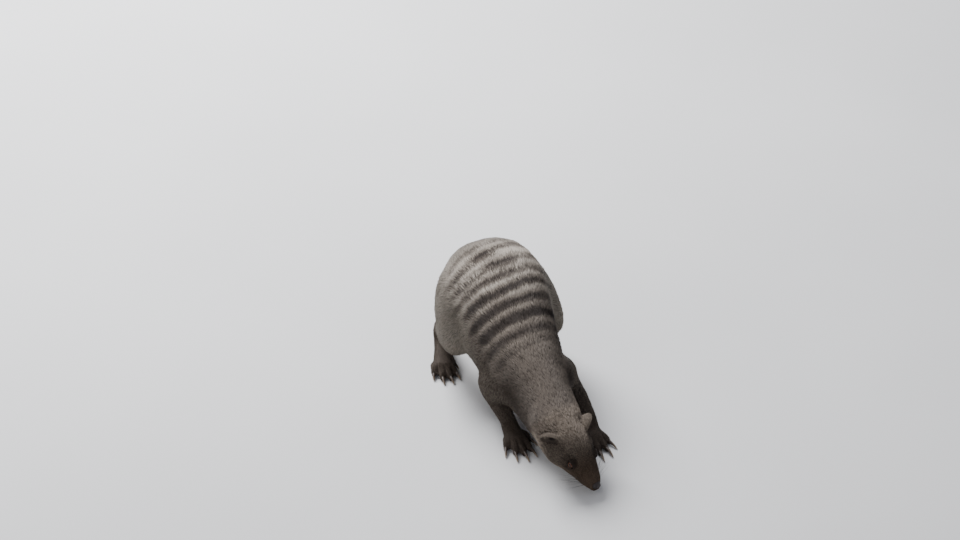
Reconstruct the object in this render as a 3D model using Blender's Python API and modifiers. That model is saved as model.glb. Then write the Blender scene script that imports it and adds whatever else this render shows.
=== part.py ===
"""A banded mongoose, life size, crouched with its nose to the ground: a still model, as a museum shows.

The body is lofted and tubed from a few stations, fused into one smooth skin-tight form that reaches
the tips of the coat, cut flat where it stands, and parted with thin cuts into the parts that a
person would name. Eyes, nose leather and claws are solids of their own, set into the flesh.

Axes: the animal faces -Y, its left side is +X, +Z is up, and the floor is z = 0. The origin is the
middle of the footprint. Lengths are metres; cm() takes centimetres.
"""

import math

import bmesh
import bpy
import numpy as np
from mathutils import Matrix, Vector
from mathutils.bvhtree import BVHTree


def cm(*numbers):
    """A point, or a single length, given in centimetres."""
    metres = [n * 0.01 for n in numbers]
    return Vector(metres) if len(metres) > 1 else metres[0]


# ---------------------------------------------------------------- driving sizes

HEAD_LENGTH = cm(8.15)  # nose tip to nape, coat included
HEAD_PITCH = math.radians(31)  # how far the nose points down
HEAD_YAW = math.radians(17)  # how far the head turns to the animal's left
HEAD_CROWN = cm(2.15)  # nape above the head's own axis
NAPE = cm(0, 0, 6.9)

MIDLINE = cm(-0.5)  # the pelvis stands this far to the right of the nape
EYE_RADIUS = cm(0.5)
EYE_AT = cm(3.3, 1.36, 0.72)  # behind the nose tip, to the side, above the axis
EAR_AT = cm(6.3, 2.5, 1.25)
EAR_HALF = cm(1.3, 1.05, 0.75)  # half its width, half its height, depth of the cup
EAR_THICK = cm(0.28)
EAR_LIP = cm(0.07)  # how far the rim slopes down into the cup
EAR_RISE = (0.38, 0.5, 0.78)  # the way an ear stands up: back, outward and up
EAR_FACING = (-0.62, 0.78, 0.05)  # the way its cup opens, measured alike
EAR_GRID = (12, 8)  # spans round the cup and over its ball
NOSE_AT = cm(0.26, 0.0, 0.26)  # behind the muzzle's end, to the side, above the axis
NOSE_HALF = cm(0.42, 0.5, 0.38)  # along, across, up
BALL_GRID = (12, 7)  # spans round an eye or the nose, and over it

TOE_RADIUS = cm(0.38)
TOE_DROP = 0.06  # how much a toe falls per length
TOE_TAPER = 0.86  # its tip's radius, to its root's
KNUCKLE_RISE = cm(0.2)
FORE_CLAW = cm(1.25)  # digging claws
HIND_CLAW = cm(0.8)
CLAW_RADIUS = cm(0.15)
CLAW_TAPER = (1, 0.85, 0.35)  # its radius at root, arch and point
CLAW_ROOT = 0.6  # how far the root lies inside the toe's tip, in toe radii
CLAW_ROOT_RISE = cm(0.12)
CLAW_ARCH_RISE = cm(0.17)
CLAW_POINT_HEIGHT = cm(0.1)  # above the floor

CUT = cm(0.035)  # width of the cuts that part the body
FIT = cm(0.03)  # gap round what is set into the flesh
TREAD = cm(0.14)  # how much of a rounded sole is cut away flat

VOXEL = cm(0.16)  # grain of the fused form
SMOOTHING = 7
BODY_TRIANGLES = 3050
FINE_SHARE = 0.002  # how strongly triangles gather on the head and paws
FINE_HEAD = (3.2, 5.8)  # centimetres behind the nose tip, and how far round there the head is fine
FINE_PAWS = (27, 2.2)  # ahead of this y and below this z, in centimetres, the paws are fine

CAP_ANGLE = math.radians(86)  # how far round a rounded end goes before it is closed flat
SHARP_ANGLE = math.radians(50)  # a steeper edge than this is not shaded smooth
TINY = 1e-6  # lengths under this count as none
RAY = Vector((0.31, 0.17, 0.93))  # any way out of the body that follows none of its edges

# ---------------------------------------------------------------- the body's stations, in centimetres

# Neck to tail root: x of the midline, (y, z) of the back, (y, z) of the belly, half width
TRUNK = (
    (0.3, (-1.6, 5.6), (0.2, 1.9), 2.1),
    (0.1, (0.4, 6.95), (2.3, 1.9), 2.75),
    (-0.2, (4.2, 8.5), (6.6, 2.5), 3.25),
    (-0.5, (8.0, 10.2), (11.0, 2.9), 4.25),
    (-0.5, (11.7, 12.2), (14.8, 3.7), 4.95),
    (-0.45, (15.4, 14.1), (18.0, 4.5), 5.5),
    (-0.4, (19.0, 15.35), (20.4, 5.2), 5.65),
    (-0.4, (22.4, 14.55), (22.1, 6.2), 5.0),
    (-0.4, (24.8, 12.5), (23.3, 7.4), 3.6),
    (-0.4, (26.3, 10.7), (24.4, 8.4), 2.2),
)
BELLY_SAG = 0.1  # how much wider the lower half of the trunk is
TRUNK_SQUARENESS = 2.35  # 2 is a plain oval
HEAD_SQUARENESS = 2.05

# Head, from the nose back: distance behind the nose tip, height above the axis, depth below it, and
# half width
HEAD = (
    (0.3, 0.6, 0.55, 0.7),
    (0.9, 0.84, 0.86, 1.02),
    (1.8, 1.06, 1.16, 1.34),
    (2.7, 1.34, 1.4, 1.66),
    (3.6, 1.78, 1.6, 2.04),
    (4.8, 2.14, 1.86, 2.42),
    (6.1, 2.24, 2.1, 2.6),
    (7.4, 2.15, 2.35, 2.55),
    (8.8, 2.1, 2.6, 2.6),
)

# The fullness of a cheek over the jaw's hinge: behind the nose tip, to the side, above the axis, radius
CHEEK = (
    (3.4, 0.95, -0.35, 0.8),
    (5.2, 1.35, -0.55, 1.27),
    (7.2, 1.35, -0.6, 1.37),
)

# Tail: x, y, z, radius
TAIL = (
    (-0.4, 24.2, 9.8, 2.0),
    (-0.4, 26.6, 8.7, 1.9),
    (-0.2, 28.8, 6.2, 1.72),
    (0.3, 31.2, 3.6, 1.55),
    (1.5, 33.8, 1.65, 1.4),
    (3.5, 35.6, 1.12, 1.22),
    (5.8, 36.0, 0.9, 1.02),
    (7.9, 35.3, 0.66, 0.76),
    (9.5, 34.1, 0.38, 0.44),
)

# A leg's stations: distance out from the midline, y, z, half width across, half width fore and aft
THIGH = (
    (2.6, 21.8, 11.3, 1.9, 2.9),
    (3.8, 20.6, 9.9, 2.15, 3.4),
    (4.7, 18.6, 8.2, 2.15, 3.1),
    (5.1, 16.6, 6.9, 1.85, 2.2),
)
SHANK = (
    (5.1, 16.5, 6.5, 1.75, 2.0),
    (4.9, 19.2, 5.3, 1.6, 1.9),
    (4.5, 22.2, 3.9, 1.15, 1.35),
    (4.3, 24.2, 2.5, 0.88, 1.0),
)
HIND_FOOT = (
    (4.3, 24.4, 1.75, 0.85, 0.98),
    (4.6, 23.0, 0.88, 0.9, 0.95),
    (5.2, 20.9, 0.78, 1.12, 0.82),
    (5.55, 19.5, 0.72, 1.28, 0.74),
)
UPPER_ARM = (
    (2.7, 7.4, 6.1, 1.5, 2.2),
    (3.3, 8.8, 5.3, 1.6, 2.0),
    (3.6, 10.5, 4.5, 1.35, 1.55),
)
FOREARM = (
    (3.6, 10.7, 4.3, 1.3, 1.4),
    (3.2, 8.8, 3.1, 1.15, 1.2),
    (2.85, 7.2, 1.9, 0.88, 0.9),
)
FORE_PAW = (
    (2.8, 7.0, 1.6, 0.86, 0.86),
    (2.7, 5.9, 0.8, 1.02, 0.84),
    (2.6, 4.7, 0.6, 1.22, 0.74),
)

# Where the feet stand: how far each reaches ahead of the stations above, and how far further out
FORE_REACH = {"right": (0.0, 0.0), "left": (2.6, 2.5)}
HIND_REACH = {"right": (0.0, 0.0), "left": (0.2, 0.3)}

# Toes, inner to outer: offset across, how far the root lies behind the middle one's, length, and
# spread in degrees
FORE_TOES = (
    (-1.05, 1.15, 1.05, -24),
    (-0.72, 0.2, 1.7, -10),
    (-0.08, 0.0, 1.95, -1),
    (0.55, 0.15, 1.75, 9),
    (1.05, 0.75, 1.35, 20),
)
HIND_TOES = (
    (-1.05, 1.5, 1.0, -18),
    (-0.75, 0.25, 1.6, -8),
    (-0.1, 0.0, 1.85, -1),
    (0.55, 0.1, 1.75, 7),
    (1.1, 0.7, 1.35, 16),
)
TOE_NAMES = ("inner", "second", "middle", "fourth", "outer")

PARTS_GROUP = "mongoose"
CUTTERS_GROUP = "cutters"

SIDES = {"left": 1, "right": -1}

# The plane that parts a leg from the trunk: (out, z) low down and (out, z) high up, then its span in
# y, then (out, z) of the inner top edge of the leg's own space under the belly
SHOULDER_CUT = {
    "right": ((2.0, 2.2), (4.4, 9.6), (2.0, 12), (0.9, 2.15)),
    "left": ((3.6, 2.2), (4.4, 9.6), (-1, 12), (3.6, 2.15)),
}
HIP_CUT = {
    "right": ((3.0, 4.4), (5.3, 13.4), (12.8, 27), (2.6, 3.6)),
    "left": ((3.0, 4.4), (5.3, 13.4), (12.8, 27), (2.6, 3.6)),
}
LEG_SPACE_REACH = cm(9)  # how far out a leg's own space reaches from its slanting plane
LEG_SPACE_ABOVE = cm(0.6)  # how far it runs on past the plane's upper point
LEG_SPACE_BELOW = cm(1.2)  # and past the lower one, besides a share of the plane's rise
LEG_SPACE_SHARE = 0.25
LEG_SPACE_SQUARENESS = 4.5

# Plates across a leg: where, in centimetres from a joint of the leg, the way the plate faces, and
# its two sides in centimetres
ELBOW_CUT = ((0, -1.7, -0.9), (0, -0.1, -1), (7, 9.8))
KNEE_CUT = ((0, 3.4, -0.4), (0, 0.03, 1), (9, 17))
HEEL_CUT = ((0, 0.1, 0.5), (0, 0.08, 1), (3.2, 7))
WRIST_CUT = (0.1, (3.4, 3.4))  # how far down the foreleg, and its two sides

# Plates across the trunk and the tail, by station; a share of a station lies between two
TRUNK_CUTS = (2.6, 4.3, 6.2, 8.6)
TAIL_CUTS = (3, 6)
TRUNK_PLATE = (17, 3.5)  # width in centimetres, and how much taller than the trunk
TAIL_PLATE = 1.2  # how much wider than the tail

# Plates in the head: behind the nose tip and above the axis, in centimetres
NAPE_CUT = 8.0
MOUTH_FRONT = (-0.3, -0.52)
MOUTH_END = (3.9, -0.62)
JAW_END = (6.6, -3.2)
HEAD_PLATE = (8, 7)  # the nape plate's sides; the plates round the jaw are as wide as its second

# A point inside each piece of the trunk and tail, and inside an upper arm, by which it is named
INSIDE_TRUNK = {
    "neck": (-0.1, 4.8, 5.5),
    "chest": (-0.6, 12.0, 7.5),
    "abdomen": (-0.5, 18.3, 10),
    "rump": (-0.5, 22.8, 11),
    "tail_root": (-0.2, 28.6, 6.4),
    "tail_middle": (2.4, 34.8, 1.4),
}
INSIDE_TAIL_TIP = (8.2, 35.1, 0.6)
INSIDE_HEAD = (5, 0.6)  # behind the nose tip, above the axis
INSIDE_JAW = (2.4, -0.95)
INSIDE_UPPER_ARM = (4.7, 8.4, 5.6)  # out from the midline, y, z
SMALLEST_PART = 0.05e-6  # a shaving under this volume is dropped

# ---------------------------------------------------------------- looks of the parts

COLOURS = {
    "coat": ((0.24, 0.215, 0.19), 0.85),
    "dark_coat": ((0.10, 0.08, 0.065), 0.85),
    "eye": ((0.10, 0.045, 0.02), 0.12),
    "nose": ((0.045, 0.032, 0.028), 0.45),
    "claw": ((0.11, 0.085, 0.06), 0.4),
}


def finish_of(part, finish):
    """A part's own material, in one of the finishes above."""
    colour, roughness = COLOURS[finish]
    material = bpy.data.materials.new(part)
    material.use_nodes = True
    shader = material.node_tree.nodes["Principled BSDF"]
    shader.inputs["Base Color"].default_value = (*colour, 1)
    shader.inputs["Roughness"].default_value = roughness
    shader.inputs["Metallic"].default_value = 0
    return material


# ---------------------------------------------------------------- placing


def head_axes():
    """Unit vectors of the head: back along it, to the animal's left, and up."""
    turn = Matrix.Rotation(HEAD_YAW, 3, "Z") @ Matrix.Rotation(HEAD_PITCH, 3, "X")
    return turn @ Vector((0, 1, 0)), turn @ Vector((1, 0, 0)), turn @ Vector((0, 0, 1))


def head_point(back, left, up):
    """A point of the head, from its nose tip: distance back, to the left, and above the axis."""
    along, across, above = head_axes()
    tip = NAPE - along * HEAD_LENGTH - above * HEAD_CROWN
    return tip + along * back + across * left + above * up


def on_side(side, out, y, z):
    """A point of a leg, given in centimetres out from the midline."""
    return Vector((MIDLINE + SIDES[side] * cm(out), cm(y), cm(z)))


def reached(stations, reach, share=(1.0, 1.0)):
    """The stations of a limb with its far end moved forward and out, its near end less so."""
    forward, out = reach
    last = len(stations) - 1
    near, far = share
    moved = []
    for i, (x, y, z, wide, deep) in enumerate(stations):
        part = near + (far - near) * i / last
        moved.append((x + out * part, y - forward * part, z, wide, deep))
    return moved


# ---------------------------------------------------------------- lofting


def between(rows, steps):
    """Rows of numbers run through a smooth curve, with steps spans between neighbours."""
    rows = [np.array(row, float) for row in rows]
    rows = [2 * rows[0] - rows[1], *rows, 2 * rows[-1] - rows[-2]]
    made = []
    for a, b, c, d in zip(rows, rows[1:], rows[2:], rows[3:]):
        for t in np.arange(steps) / steps:
            made.append(
                0.5
                * (
                    2 * b
                    + (c - a) * t
                    + (2 * a - 5 * b + 4 * c - d) * t**2
                    + (3 * b - a - 3 * c + d) * t**3
                )
            )
    return [*made, rows[-2]]


def domed(rings, steps=4):
    """Rings of (centre, across, above, below) with a rounded end put on both ends."""

    def cap(end, neighbour):
        centre, across, above, below = end
        outward = (centre - neighbour[0]).normalized()
        depth = min(across.length, above.length, below.length)
        made = []
        for i in range(1, steps + 1):
            angle = CAP_ANGLE * i / steps
            size = math.cos(angle)
            push = outward * depth * math.sin(angle)
            made.append((centre + push, across * size, above * size, below * size))
        return made

    return cap(rings[0], rings[1])[::-1] + rings + cap(rings[-1], rings[-2])


def loft(rings, sides=28, sag=0.0, squareness=2.2):
    """A closed mesh through rings of (centre, half width across, half depth above, half depth below)."""
    mesh = bmesh.new()
    loops = []
    for centre, across, above, below in rings:
        loop = []
        for i in range(sides):
            angle = 2 * math.pi * i / sides
            c, s = math.cos(angle), math.sin(angle)
            c = math.copysign(abs(c) ** (2 / squareness), c) * (1 - sag * s)
            s = math.copysign(abs(s) ** (2 / squareness), s)
            up = above * s if s > 0 else below * s
            loop.append(mesh.verts.new(centre + across * c + up))
        loops.append(loop)
    for low, high in zip(loops, loops[1:]):
        for i in range(sides):
            j = (i + 1) % sides
            mesh.faces.new((low[i], low[j], high[j], high[i]))
    mesh.faces.new(loops[0][::-1])
    mesh.faces.new(loops[-1])
    bmesh.ops.recalc_face_normals(mesh, faces=mesh.faces)
    return mesh


def limb(stations, sides=20):
    """A closed form through (point, half width along X, half depth), oval at each station."""
    rows = between([(*p, wide, deep) for p, wide, deep in stations], 6)
    points = [Vector(row[:3]) for row in rows]
    rings = []
    for i, row in enumerate(rows):
        ahead, behind = points[min(i + 1, len(rows) - 1)], points[max(i - 1, 0)]
        along = (ahead - behind).normalized()
        across = (Vector((1, 0, 0)) - along * along.x).normalized()
        above = along.cross(across)
        rings.append((points[i], across * row[3], above * row[4], above * row[4]))
    return loft(domed(rings), sides)


def rod(stations, steps, resolution, dome):
    """A closed round form through (point, radius): a bevelled curve whose ends are rounded off."""
    rows = between([(*point, radius) for point, radius in stations], steps)
    rings = [(Vector(row[:3]), *[Vector((row[3], 0, 0))] * 3) for row in rows]
    rings = domed(rings, dome)
    curve = bpy.data.curves.new("rod", "CURVE")
    curve.dimensions = "3D"
    curve.bevel_depth = 1
    curve.bevel_resolution = resolution
    curve.use_fill_caps = True
    spline = curve.splines.new("POLY")
    spline.points.add(len(rings) - 1)
    for point, (centre, across, _, _) in zip(spline.points, rings):
        point.co = (*centre, 1)
        point.radius = across.length
    guide = bpy.data.objects.new("rod", curve)
    bpy.context.scene.collection.objects.link(guide)
    bpy.context.view_layer.update()
    graph = bpy.context.evaluated_depsgraph_get()
    data = bpy.data.meshes.new_from_object(guide.evaluated_get(graph))
    mesh = bmesh.new()
    mesh.from_mesh(data)
    bmesh.ops.remove_doubles(mesh, verts=mesh.verts, dist=TINY)
    bmesh.ops.recalc_face_normals(mesh, faces=mesh.faces)
    bpy.data.meshes.remove(data)
    bpy.data.objects.remove(guide)
    bpy.data.curves.remove(curve)
    return mesh


# ---------------------------------------------------------------- forms that are fused into the body


def trunk_form():
    """Neck, chest, belly and rump, given by the line of the back and the line of the belly."""
    rows = between([(x, *back, *belly, half) for x, back, belly, half in TRUNK], 6)
    rings = []
    for x, back_y, back_z, belly_y, belly_z, half in rows:
        back, belly = cm(x, back_y, back_z), cm(x, belly_y, belly_z)
        above = (back - belly) / 2
        rings.append(((back + belly) / 2, Vector((cm(half), 0, 0)), above, above))
    return loft(domed(rings), 36, sag=BELLY_SAG, squareness=TRUNK_SQUARENESS)


def head_form():
    """The head's wedge, from the muzzle's blunt end to the nape."""
    along, across, above = head_axes()
    rings = []
    for back, up, down, half in between(HEAD, 5):
        centre = head_point(cm(back), 0, 0)
        rings.append((centre, across * cm(half), above * cm(up), above * cm(down)))
    return loft(domed(rings), 32, squareness=HEAD_SQUARENESS)


def cheek_form(side):
    """The fullness of the cheek over the jaw's hinge."""
    stations = []
    for back, out, up, radius in CHEEK:
        stations.append((head_point(cm(back), SIDES[side] * cm(out), cm(up)), cm(radius)))
    return rod(stations, steps=5, resolution=4, dome=4)


def tail_form():
    """The tail, thick at its root, laid along the floor and curled to the left."""
    stations = [(cm(x, y, z), cm(radius)) for x, y, z, radius in TAIL]
    return rod(stations, steps=6, resolution=5, dome=4)


def leg_forms(side, pieces):
    """One form for each stretch of a leg."""
    for stations in pieces:
        placed = [(on_side(side, x, y, z), cm(w), cm(d)) for x, y, z, w, d in stations]
        yield limb(placed)


def toe_lines(side, paw_end, toes):
    """For each toe, its root, its tip and its direction, ahead of the end of the paw."""
    x, y, z, _, _ = paw_end
    for across, back, length, spread in toes:
        root = on_side(side, x + across, y + back, z)
        angle = math.radians(spread)
        ahead = Vector((SIDES[side] * math.sin(angle), -math.cos(angle), -TOE_DROP)).normalized()
        tip = root + ahead * cm(length)
        tip.z = TOE_RADIUS - TREAD
        yield root, tip, (tip - root).normalized()


def toe_form(root, tip):
    """A toe with a knuckle that stands a little above its ends."""
    knuckle = (root + tip) / 2 + Vector((0, 0, KNUCKLE_RISE))
    line = ((root, TOE_RADIUS), (knuckle, TOE_RADIUS), (tip, TOE_RADIUS * TOE_TAPER))
    return rod(line, steps=4, resolution=2, dome=3)


# ---------------------------------------------------------------- making objects


def gathered(name):
    """The collection of this name, made if it isn't there."""
    group = bpy.data.collections.get(name)
    if group is None:
        group = bpy.data.collections.new(name)
        bpy.context.scene.collection.children.link(group)
    return group


def new_object(name, mesh, finish=None):
    """An object from a bmesh, which is freed; with no finish it is a cutter or a form still to be cut."""
    data = bpy.data.meshes.new(name)
    mesh.to_mesh(data)
    mesh.free()
    made = bpy.data.objects.new(name, data)
    if finish:
        gathered(PARTS_GROUP).objects.link(made)
        made.data.materials.append(finish_of(name, finish))
    else:
        gathered(CUTTERS_GROUP).objects.link(made)
        made.hide_render = True
        made.display_type = "WIRE"
    return made


def apply_modifiers(obj):
    """Turns the evaluated shape into the object's own mesh."""
    bpy.context.view_layer.update()
    graph = bpy.context.evaluated_depsgraph_get()
    shaped = bpy.data.meshes.new_from_object(obj.evaluated_get(graph))
    obj.modifiers.clear()
    spent, obj.data = obj.data, shaped
    bpy.data.meshes.remove(spent)


def remove(obj):
    """Takes an object out of the file."""
    bpy.data.objects.remove(obj, do_unlink=True)


def boolean(obj, operation, other):
    """Cuts, keeps or joins obj with another closed mesh."""
    modifier = obj.modifiers.new(operation.title(), "BOOLEAN")
    modifier.operation = operation
    modifier.object = other
    apply_modifiers(obj)


def copied(obj, name):
    """A second object with a mesh of its own."""
    made = obj.copy()
    made.data = obj.data.copy()
    made.name = name
    gathered(CUTTERS_GROUP).objects.link(made)
    return made


def joined(meshes):
    """One bmesh that holds several, still as separate closed bodies."""
    whole = bmesh.new()
    for mesh in meshes:
        data = bpy.data.meshes.new("joining")
        mesh.to_mesh(data)
        mesh.free()
        whole.from_mesh(data)
        bpy.data.meshes.remove(data)
    return whole


# ---------------------------------------------------------------- the fused body


def leg_stations(side):
    """The stretches of this side's foreleg and hind leg, each a list of stations."""
    fore, hind = FORE_REACH[side], HIND_REACH[side]
    foreleg = (
        reached(UPPER_ARM, fore, (0.1, 0.35)),
        reached(FOREARM, fore, (0.35, 1)),
        reached(FORE_PAW, fore),
    )
    hindleg = (
        reached(THIGH, hind, (0, 0.6)),
        reached(SHANK, hind, (0.6, 1)),
        reached(HIND_FOOT, hind),
    )
    return foreleg, hindleg


def body_forms():
    """Every closed form that the body is fused from."""
    yield trunk_form()
    yield head_form()
    yield tail_form()
    for side in SIDES:
        yield cheek_form(side)
        for leg, toes in zip(leg_stations(side), (FORE_TOES, HIND_TOES)):
            yield from leg_forms(side, leg)
            for root, tip, _ in toe_lines(side, leg[-1][-1], toes):
                yield toe_form(root, tip)


def fine_weight(point):
    """How much detail this place needs: high on the head and the paws."""
    back, reach = FINE_HEAD
    rear, top = FINE_PAWS
    near_head = (point - head_point(cm(back), 0, 0)).length < cm(reach)
    low = point.z < cm(top) and point.y < cm(rear)
    return 1.0 if near_head or low else 0.0


def fused_body():
    """All the forms as one closed mesh of few triangles, standing flat on the floor."""
    body = new_object("body", joined(body_forms()))
    remesh = body.modifiers.new("Fuse", "REMESH")
    remesh.mode = "VOXEL"
    remesh.voxel_size = VOXEL
    smooth = body.modifiers.new("Soften", "SMOOTH")
    smooth.factor = 0.5
    smooth.iterations = SMOOTHING
    apply_modifiers(body)
    weights = body.vertex_groups.new(name="detail")
    for vertex in body.data.vertices:
        weights.add([vertex.index], 1 - FINE_SHARE * fine_weight(vertex.co), "REPLACE")
    reduce = body.modifiers.new("Reduce", "DECIMATE")
    reduce.ratio = BODY_TRIANGLES / (2 * len(body.data.polygons))
    reduce.vertex_group = weights.name
    reduce.vertex_group_factor = 1
    apply_modifiers(body)
    stand_flat(body)
    return body


def stand_flat(body):
    """Cuts away what lies under the floor and closes the soles."""
    mesh = bmesh.new()
    mesh.from_mesh(body.data)
    geometry = mesh.verts[:] + mesh.edges[:] + mesh.faces[:]
    bmesh.ops.bisect_plane(mesh, geom=geometry, plane_co=(0, 0, 0), plane_no=(0, 0, -1), clear_outer=True)
    bmesh.ops.holes_fill(mesh, edges=[e for e in mesh.edges if e.is_boundary])
    bmesh.ops.triangulate(mesh, faces=mesh.faces)
    bmesh.ops.recalc_face_normals(mesh, faces=mesh.faces)
    mesh.to_mesh(body.data)
    mesh.free()


# ---------------------------------------------------------------- cutting


def block(centre, axes, size):
    """A box with its middle, its three unit axes and its three side lengths."""
    mesh = bmesh.new()
    place = Matrix(axes).transposed().to_4x4()
    place.translation = centre
    place = place @ Matrix.Diagonal((*size, 1))
    bmesh.ops.create_cube(mesh, size=1, matrix=place)
    bmesh.ops.recalc_face_normals(mesh, faces=mesh.faces)
    return new_object("cutter", mesh)


def slab(centre, normal, wide, tall):
    """A thin plate across a stretch of the body, its width as near level as it can be."""
    normal = normal.normalized()
    level = Vector((0, 0, 1)).cross(normal)
    level = level.normalized() if level.length > 0.05 else Vector((1, 0, 0))
    return block(centre, (level, normal.cross(level), normal), (wide, tall, CUT))


def limb_block(side, armpit, outer, span, under, extra=0.0):
    """The space of a leg: outside a slanting plane, from the armpit or groin up, and under the belly.

    armpit, outer and under are (out, z) in centimetres, span is a run in y; extra grows it all round.
    """
    low, high = on_side(side, armpit[0], 0, armpit[1]), on_side(side, outer[0], 0, outer[1])
    slope = (high - low).normalized()
    front, rear = span
    half_run = cm(rear - front) / 2 + extra
    rise = cm(outer[1] - armpit[1])
    half_rise = (high - low).length / 2 + rise * LEG_SPACE_SHARE + LEG_SPACE_BELOW + extra
    middle = high - slope * (half_rise - LEG_SPACE_ABOVE)
    middle.y = cm(front + rear) / 2
    along = Vector((0, 1, 0))
    outward = along.cross(slope) * SIDES[side]
    near, far = middle - outward * extra, middle + outward * LEG_SPACE_REACH
    rings = [(p, along * half_run, slope * half_rise, slope * half_rise) for p in (near, far)]
    space = new_object("cutter", loft(rings, 28, squareness=LEG_SPACE_SQUARENESS))
    inner, top = under
    centre = on_side(side, inner, (front + rear) / 2, (top - 1) / 2)
    centre.x += SIDES[side] * LEG_SPACE_REACH / 2
    size = (LEG_SPACE_REACH + 2 * extra, cm(rear - front) + 2 * extra, cm(top + 1) + 2 * extra)
    below = block(centre, np.eye(3), size)
    boolean(space, "UNION", below)
    remove(below)
    return space


def take_limb(body, name, side, *where):
    """Parts a whole leg from the body along a slanting cut."""
    limb = copied(body, name)
    for obj, operation, extra in ((limb, "INTERSECT", 0.0), (body, "DIFFERENCE", CUT)):
        cutter = limb_block(side, *where, extra=extra)
        boolean(obj, operation, cutter)
        remove(cutter)
    return limb


def part_with(obj, cutters, names):
    """Cuts obj with plates and names each piece that is left by the point that lies in it."""
    for cutter in cutters:
        boolean(obj, "DIFFERENCE", cutter)
        remove(cutter)
    pieces = loose_pieces(obj)
    made = {}
    for name, (point, finish) in names.items():
        piece = min(pieces, key=lambda candidate: distance_to(candidate, point))
        pieces.remove(piece)
        made[name] = new_object(name, piece, finish)
    for piece in pieces:
        if piece.calc_volume() > SMALLEST_PART:
            raise ValueError(f"a piece of {obj.name} has no name")
        piece.free()
    remove(obj)
    return made


def loose_pieces(obj):
    """The closed bodies of an object's mesh, each as a bmesh."""
    whole = bmesh.new()
    whole.from_mesh(obj.data)
    bmesh.ops.remove_doubles(whole, verts=whole.verts, dist=TINY)
    bmesh.ops.triangulate(whole, faces=whole.faces)
    whole.verts.index_update()
    label = [-1] * len(whole.verts)
    count = 0
    for start in whole.verts:
        if label[start.index] >= 0:
            continue
        label[start.index] = count
        todo = [start]
        while todo:
            for edge in todo.pop().link_edges:
                for vertex in edge.verts:
                    if label[vertex.index] < 0:
                        label[vertex.index] = count
                        todo.append(vertex)
        count += 1
    pieces = []
    for i in range(count):
        piece = whole.copy()
        piece.verts.index_update()
        others = [v for v in piece.verts if label[v.index] != i]
        bmesh.ops.delete(piece, geom=others, context="VERTS")
        pieces.append(piece)
    whole.free()
    return pieces


def distance_to(piece, point):
    """How far the point lies from a closed bmesh, which is nothing if it lies inside.

    A ray from a point inside leaves the body once more than it enters.
    """
    tree = BVHTree.FromBMesh(piece)
    ray = RAY.normalized()
    crossings = 0
    hit = tree.ray_cast(point, ray)[0]
    while hit is not None:
        crossings += 1
        hit = tree.ray_cast(hit + ray * TINY, ray)[0]
    return 0.0 if crossings % 2 else tree.find_nearest(point)[3]


# ---------------------------------------------------------------- what is set into the flesh


def ellipsoid(name, centre, axes, half, finish):
    """A ball stretched along three axes."""
    mesh = bmesh.new()
    around, over = BALL_GRID
    bmesh.ops.create_uvsphere(mesh, u_segments=around, v_segments=over, radius=1)
    place = Matrix(axes).transposed().to_4x4()
    place.translation = centre
    bmesh.ops.transform(mesh, matrix=place @ Matrix.Diagonal((*half, 1)), verts=mesh.verts)
    bmesh.ops.recalc_face_normals(mesh, faces=mesh.faces)
    return new_object(name, mesh, finish)


def eye(name, side, grow=0.0):
    """An eyeball, set as deep in the head as a real one."""
    back, out, up = EYE_AT
    centre = head_point(back, SIDES[side] * out, up)
    return ellipsoid(name, centre, head_axes(), [EYE_RADIUS + grow] * 3, "eye")


def nose(name, grow=0.0):
    """The nose leather at the end of the muzzle."""
    half = [size + grow for size in NOSE_HALF]
    return ellipsoid(name, head_point(*NOSE_AT), head_axes(), half, "nose")


def ear_place(side):
    """Where an ear stands and how it faces: forward and outward, leaning back a little."""
    along, across, above = head_axes()
    out = across * SIDES[side]
    rise, facing = (
        (along * a + out * b + above * c).normalized() for a, b, c in (EAR_RISE, EAR_FACING)
    )
    facing = (facing - rise * facing.dot(rise)).normalized()
    place = Matrix((rise.cross(facing), rise, facing)).transposed().to_4x4()
    place.translation = head_point(EAR_AT.x, SIDES[side] * EAR_AT.y, EAR_AT.z)
    return place


def ear(name, side, grow=0.0):
    """A low round ear, a shallow cup; with grow it is the filled cup, to cut the ear's seat."""
    outer = [size + grow for size in EAR_HALF]
    inner = [size - EAR_THICK for size in EAR_HALF]
    shell = bmesh.new()
    around, over = EAR_GRID
    bmesh.ops.create_uvsphere(shell, u_segments=around, v_segments=over, radius=1)
    front_half = [v for v in shell.verts if v.co.z > TINY]
    bmesh.ops.delete(shell, geom=front_half, context="VERTS")
    rim = [e for e in shell.edges if e.is_boundary]
    bmesh.ops.scale(shell, vec=outer, verts=shell.verts)
    if grow:
        bmesh.ops.holes_fill(shell, edges=rim)
    else:
        made = bmesh.ops.duplicate(shell, geom=shell.verts[:] + shell.edges[:] + shell.faces[:])["geom"]
        lining = [g for g in made if isinstance(g, bmesh.types.BMVert)]
        shrink = [b / a for a, b in zip(outer, inner)]
        bmesh.ops.scale(shell, vec=shrink, verts=lining)
        bmesh.ops.translate(shell, vec=(0, 0, -EAR_LIP), verts=lining)
        bmesh.ops.bridge_loops(shell, edges=[e for e in shell.edges if e.is_boundary])
        bmesh.ops.triangulate(shell, faces=shell.faces)
    bmesh.ops.recalc_face_normals(shell, faces=shell.faces)
    bmesh.ops.transform(shell, matrix=ear_place(side), verts=shell.verts)
    return new_object(name, shell, "coat")


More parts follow.
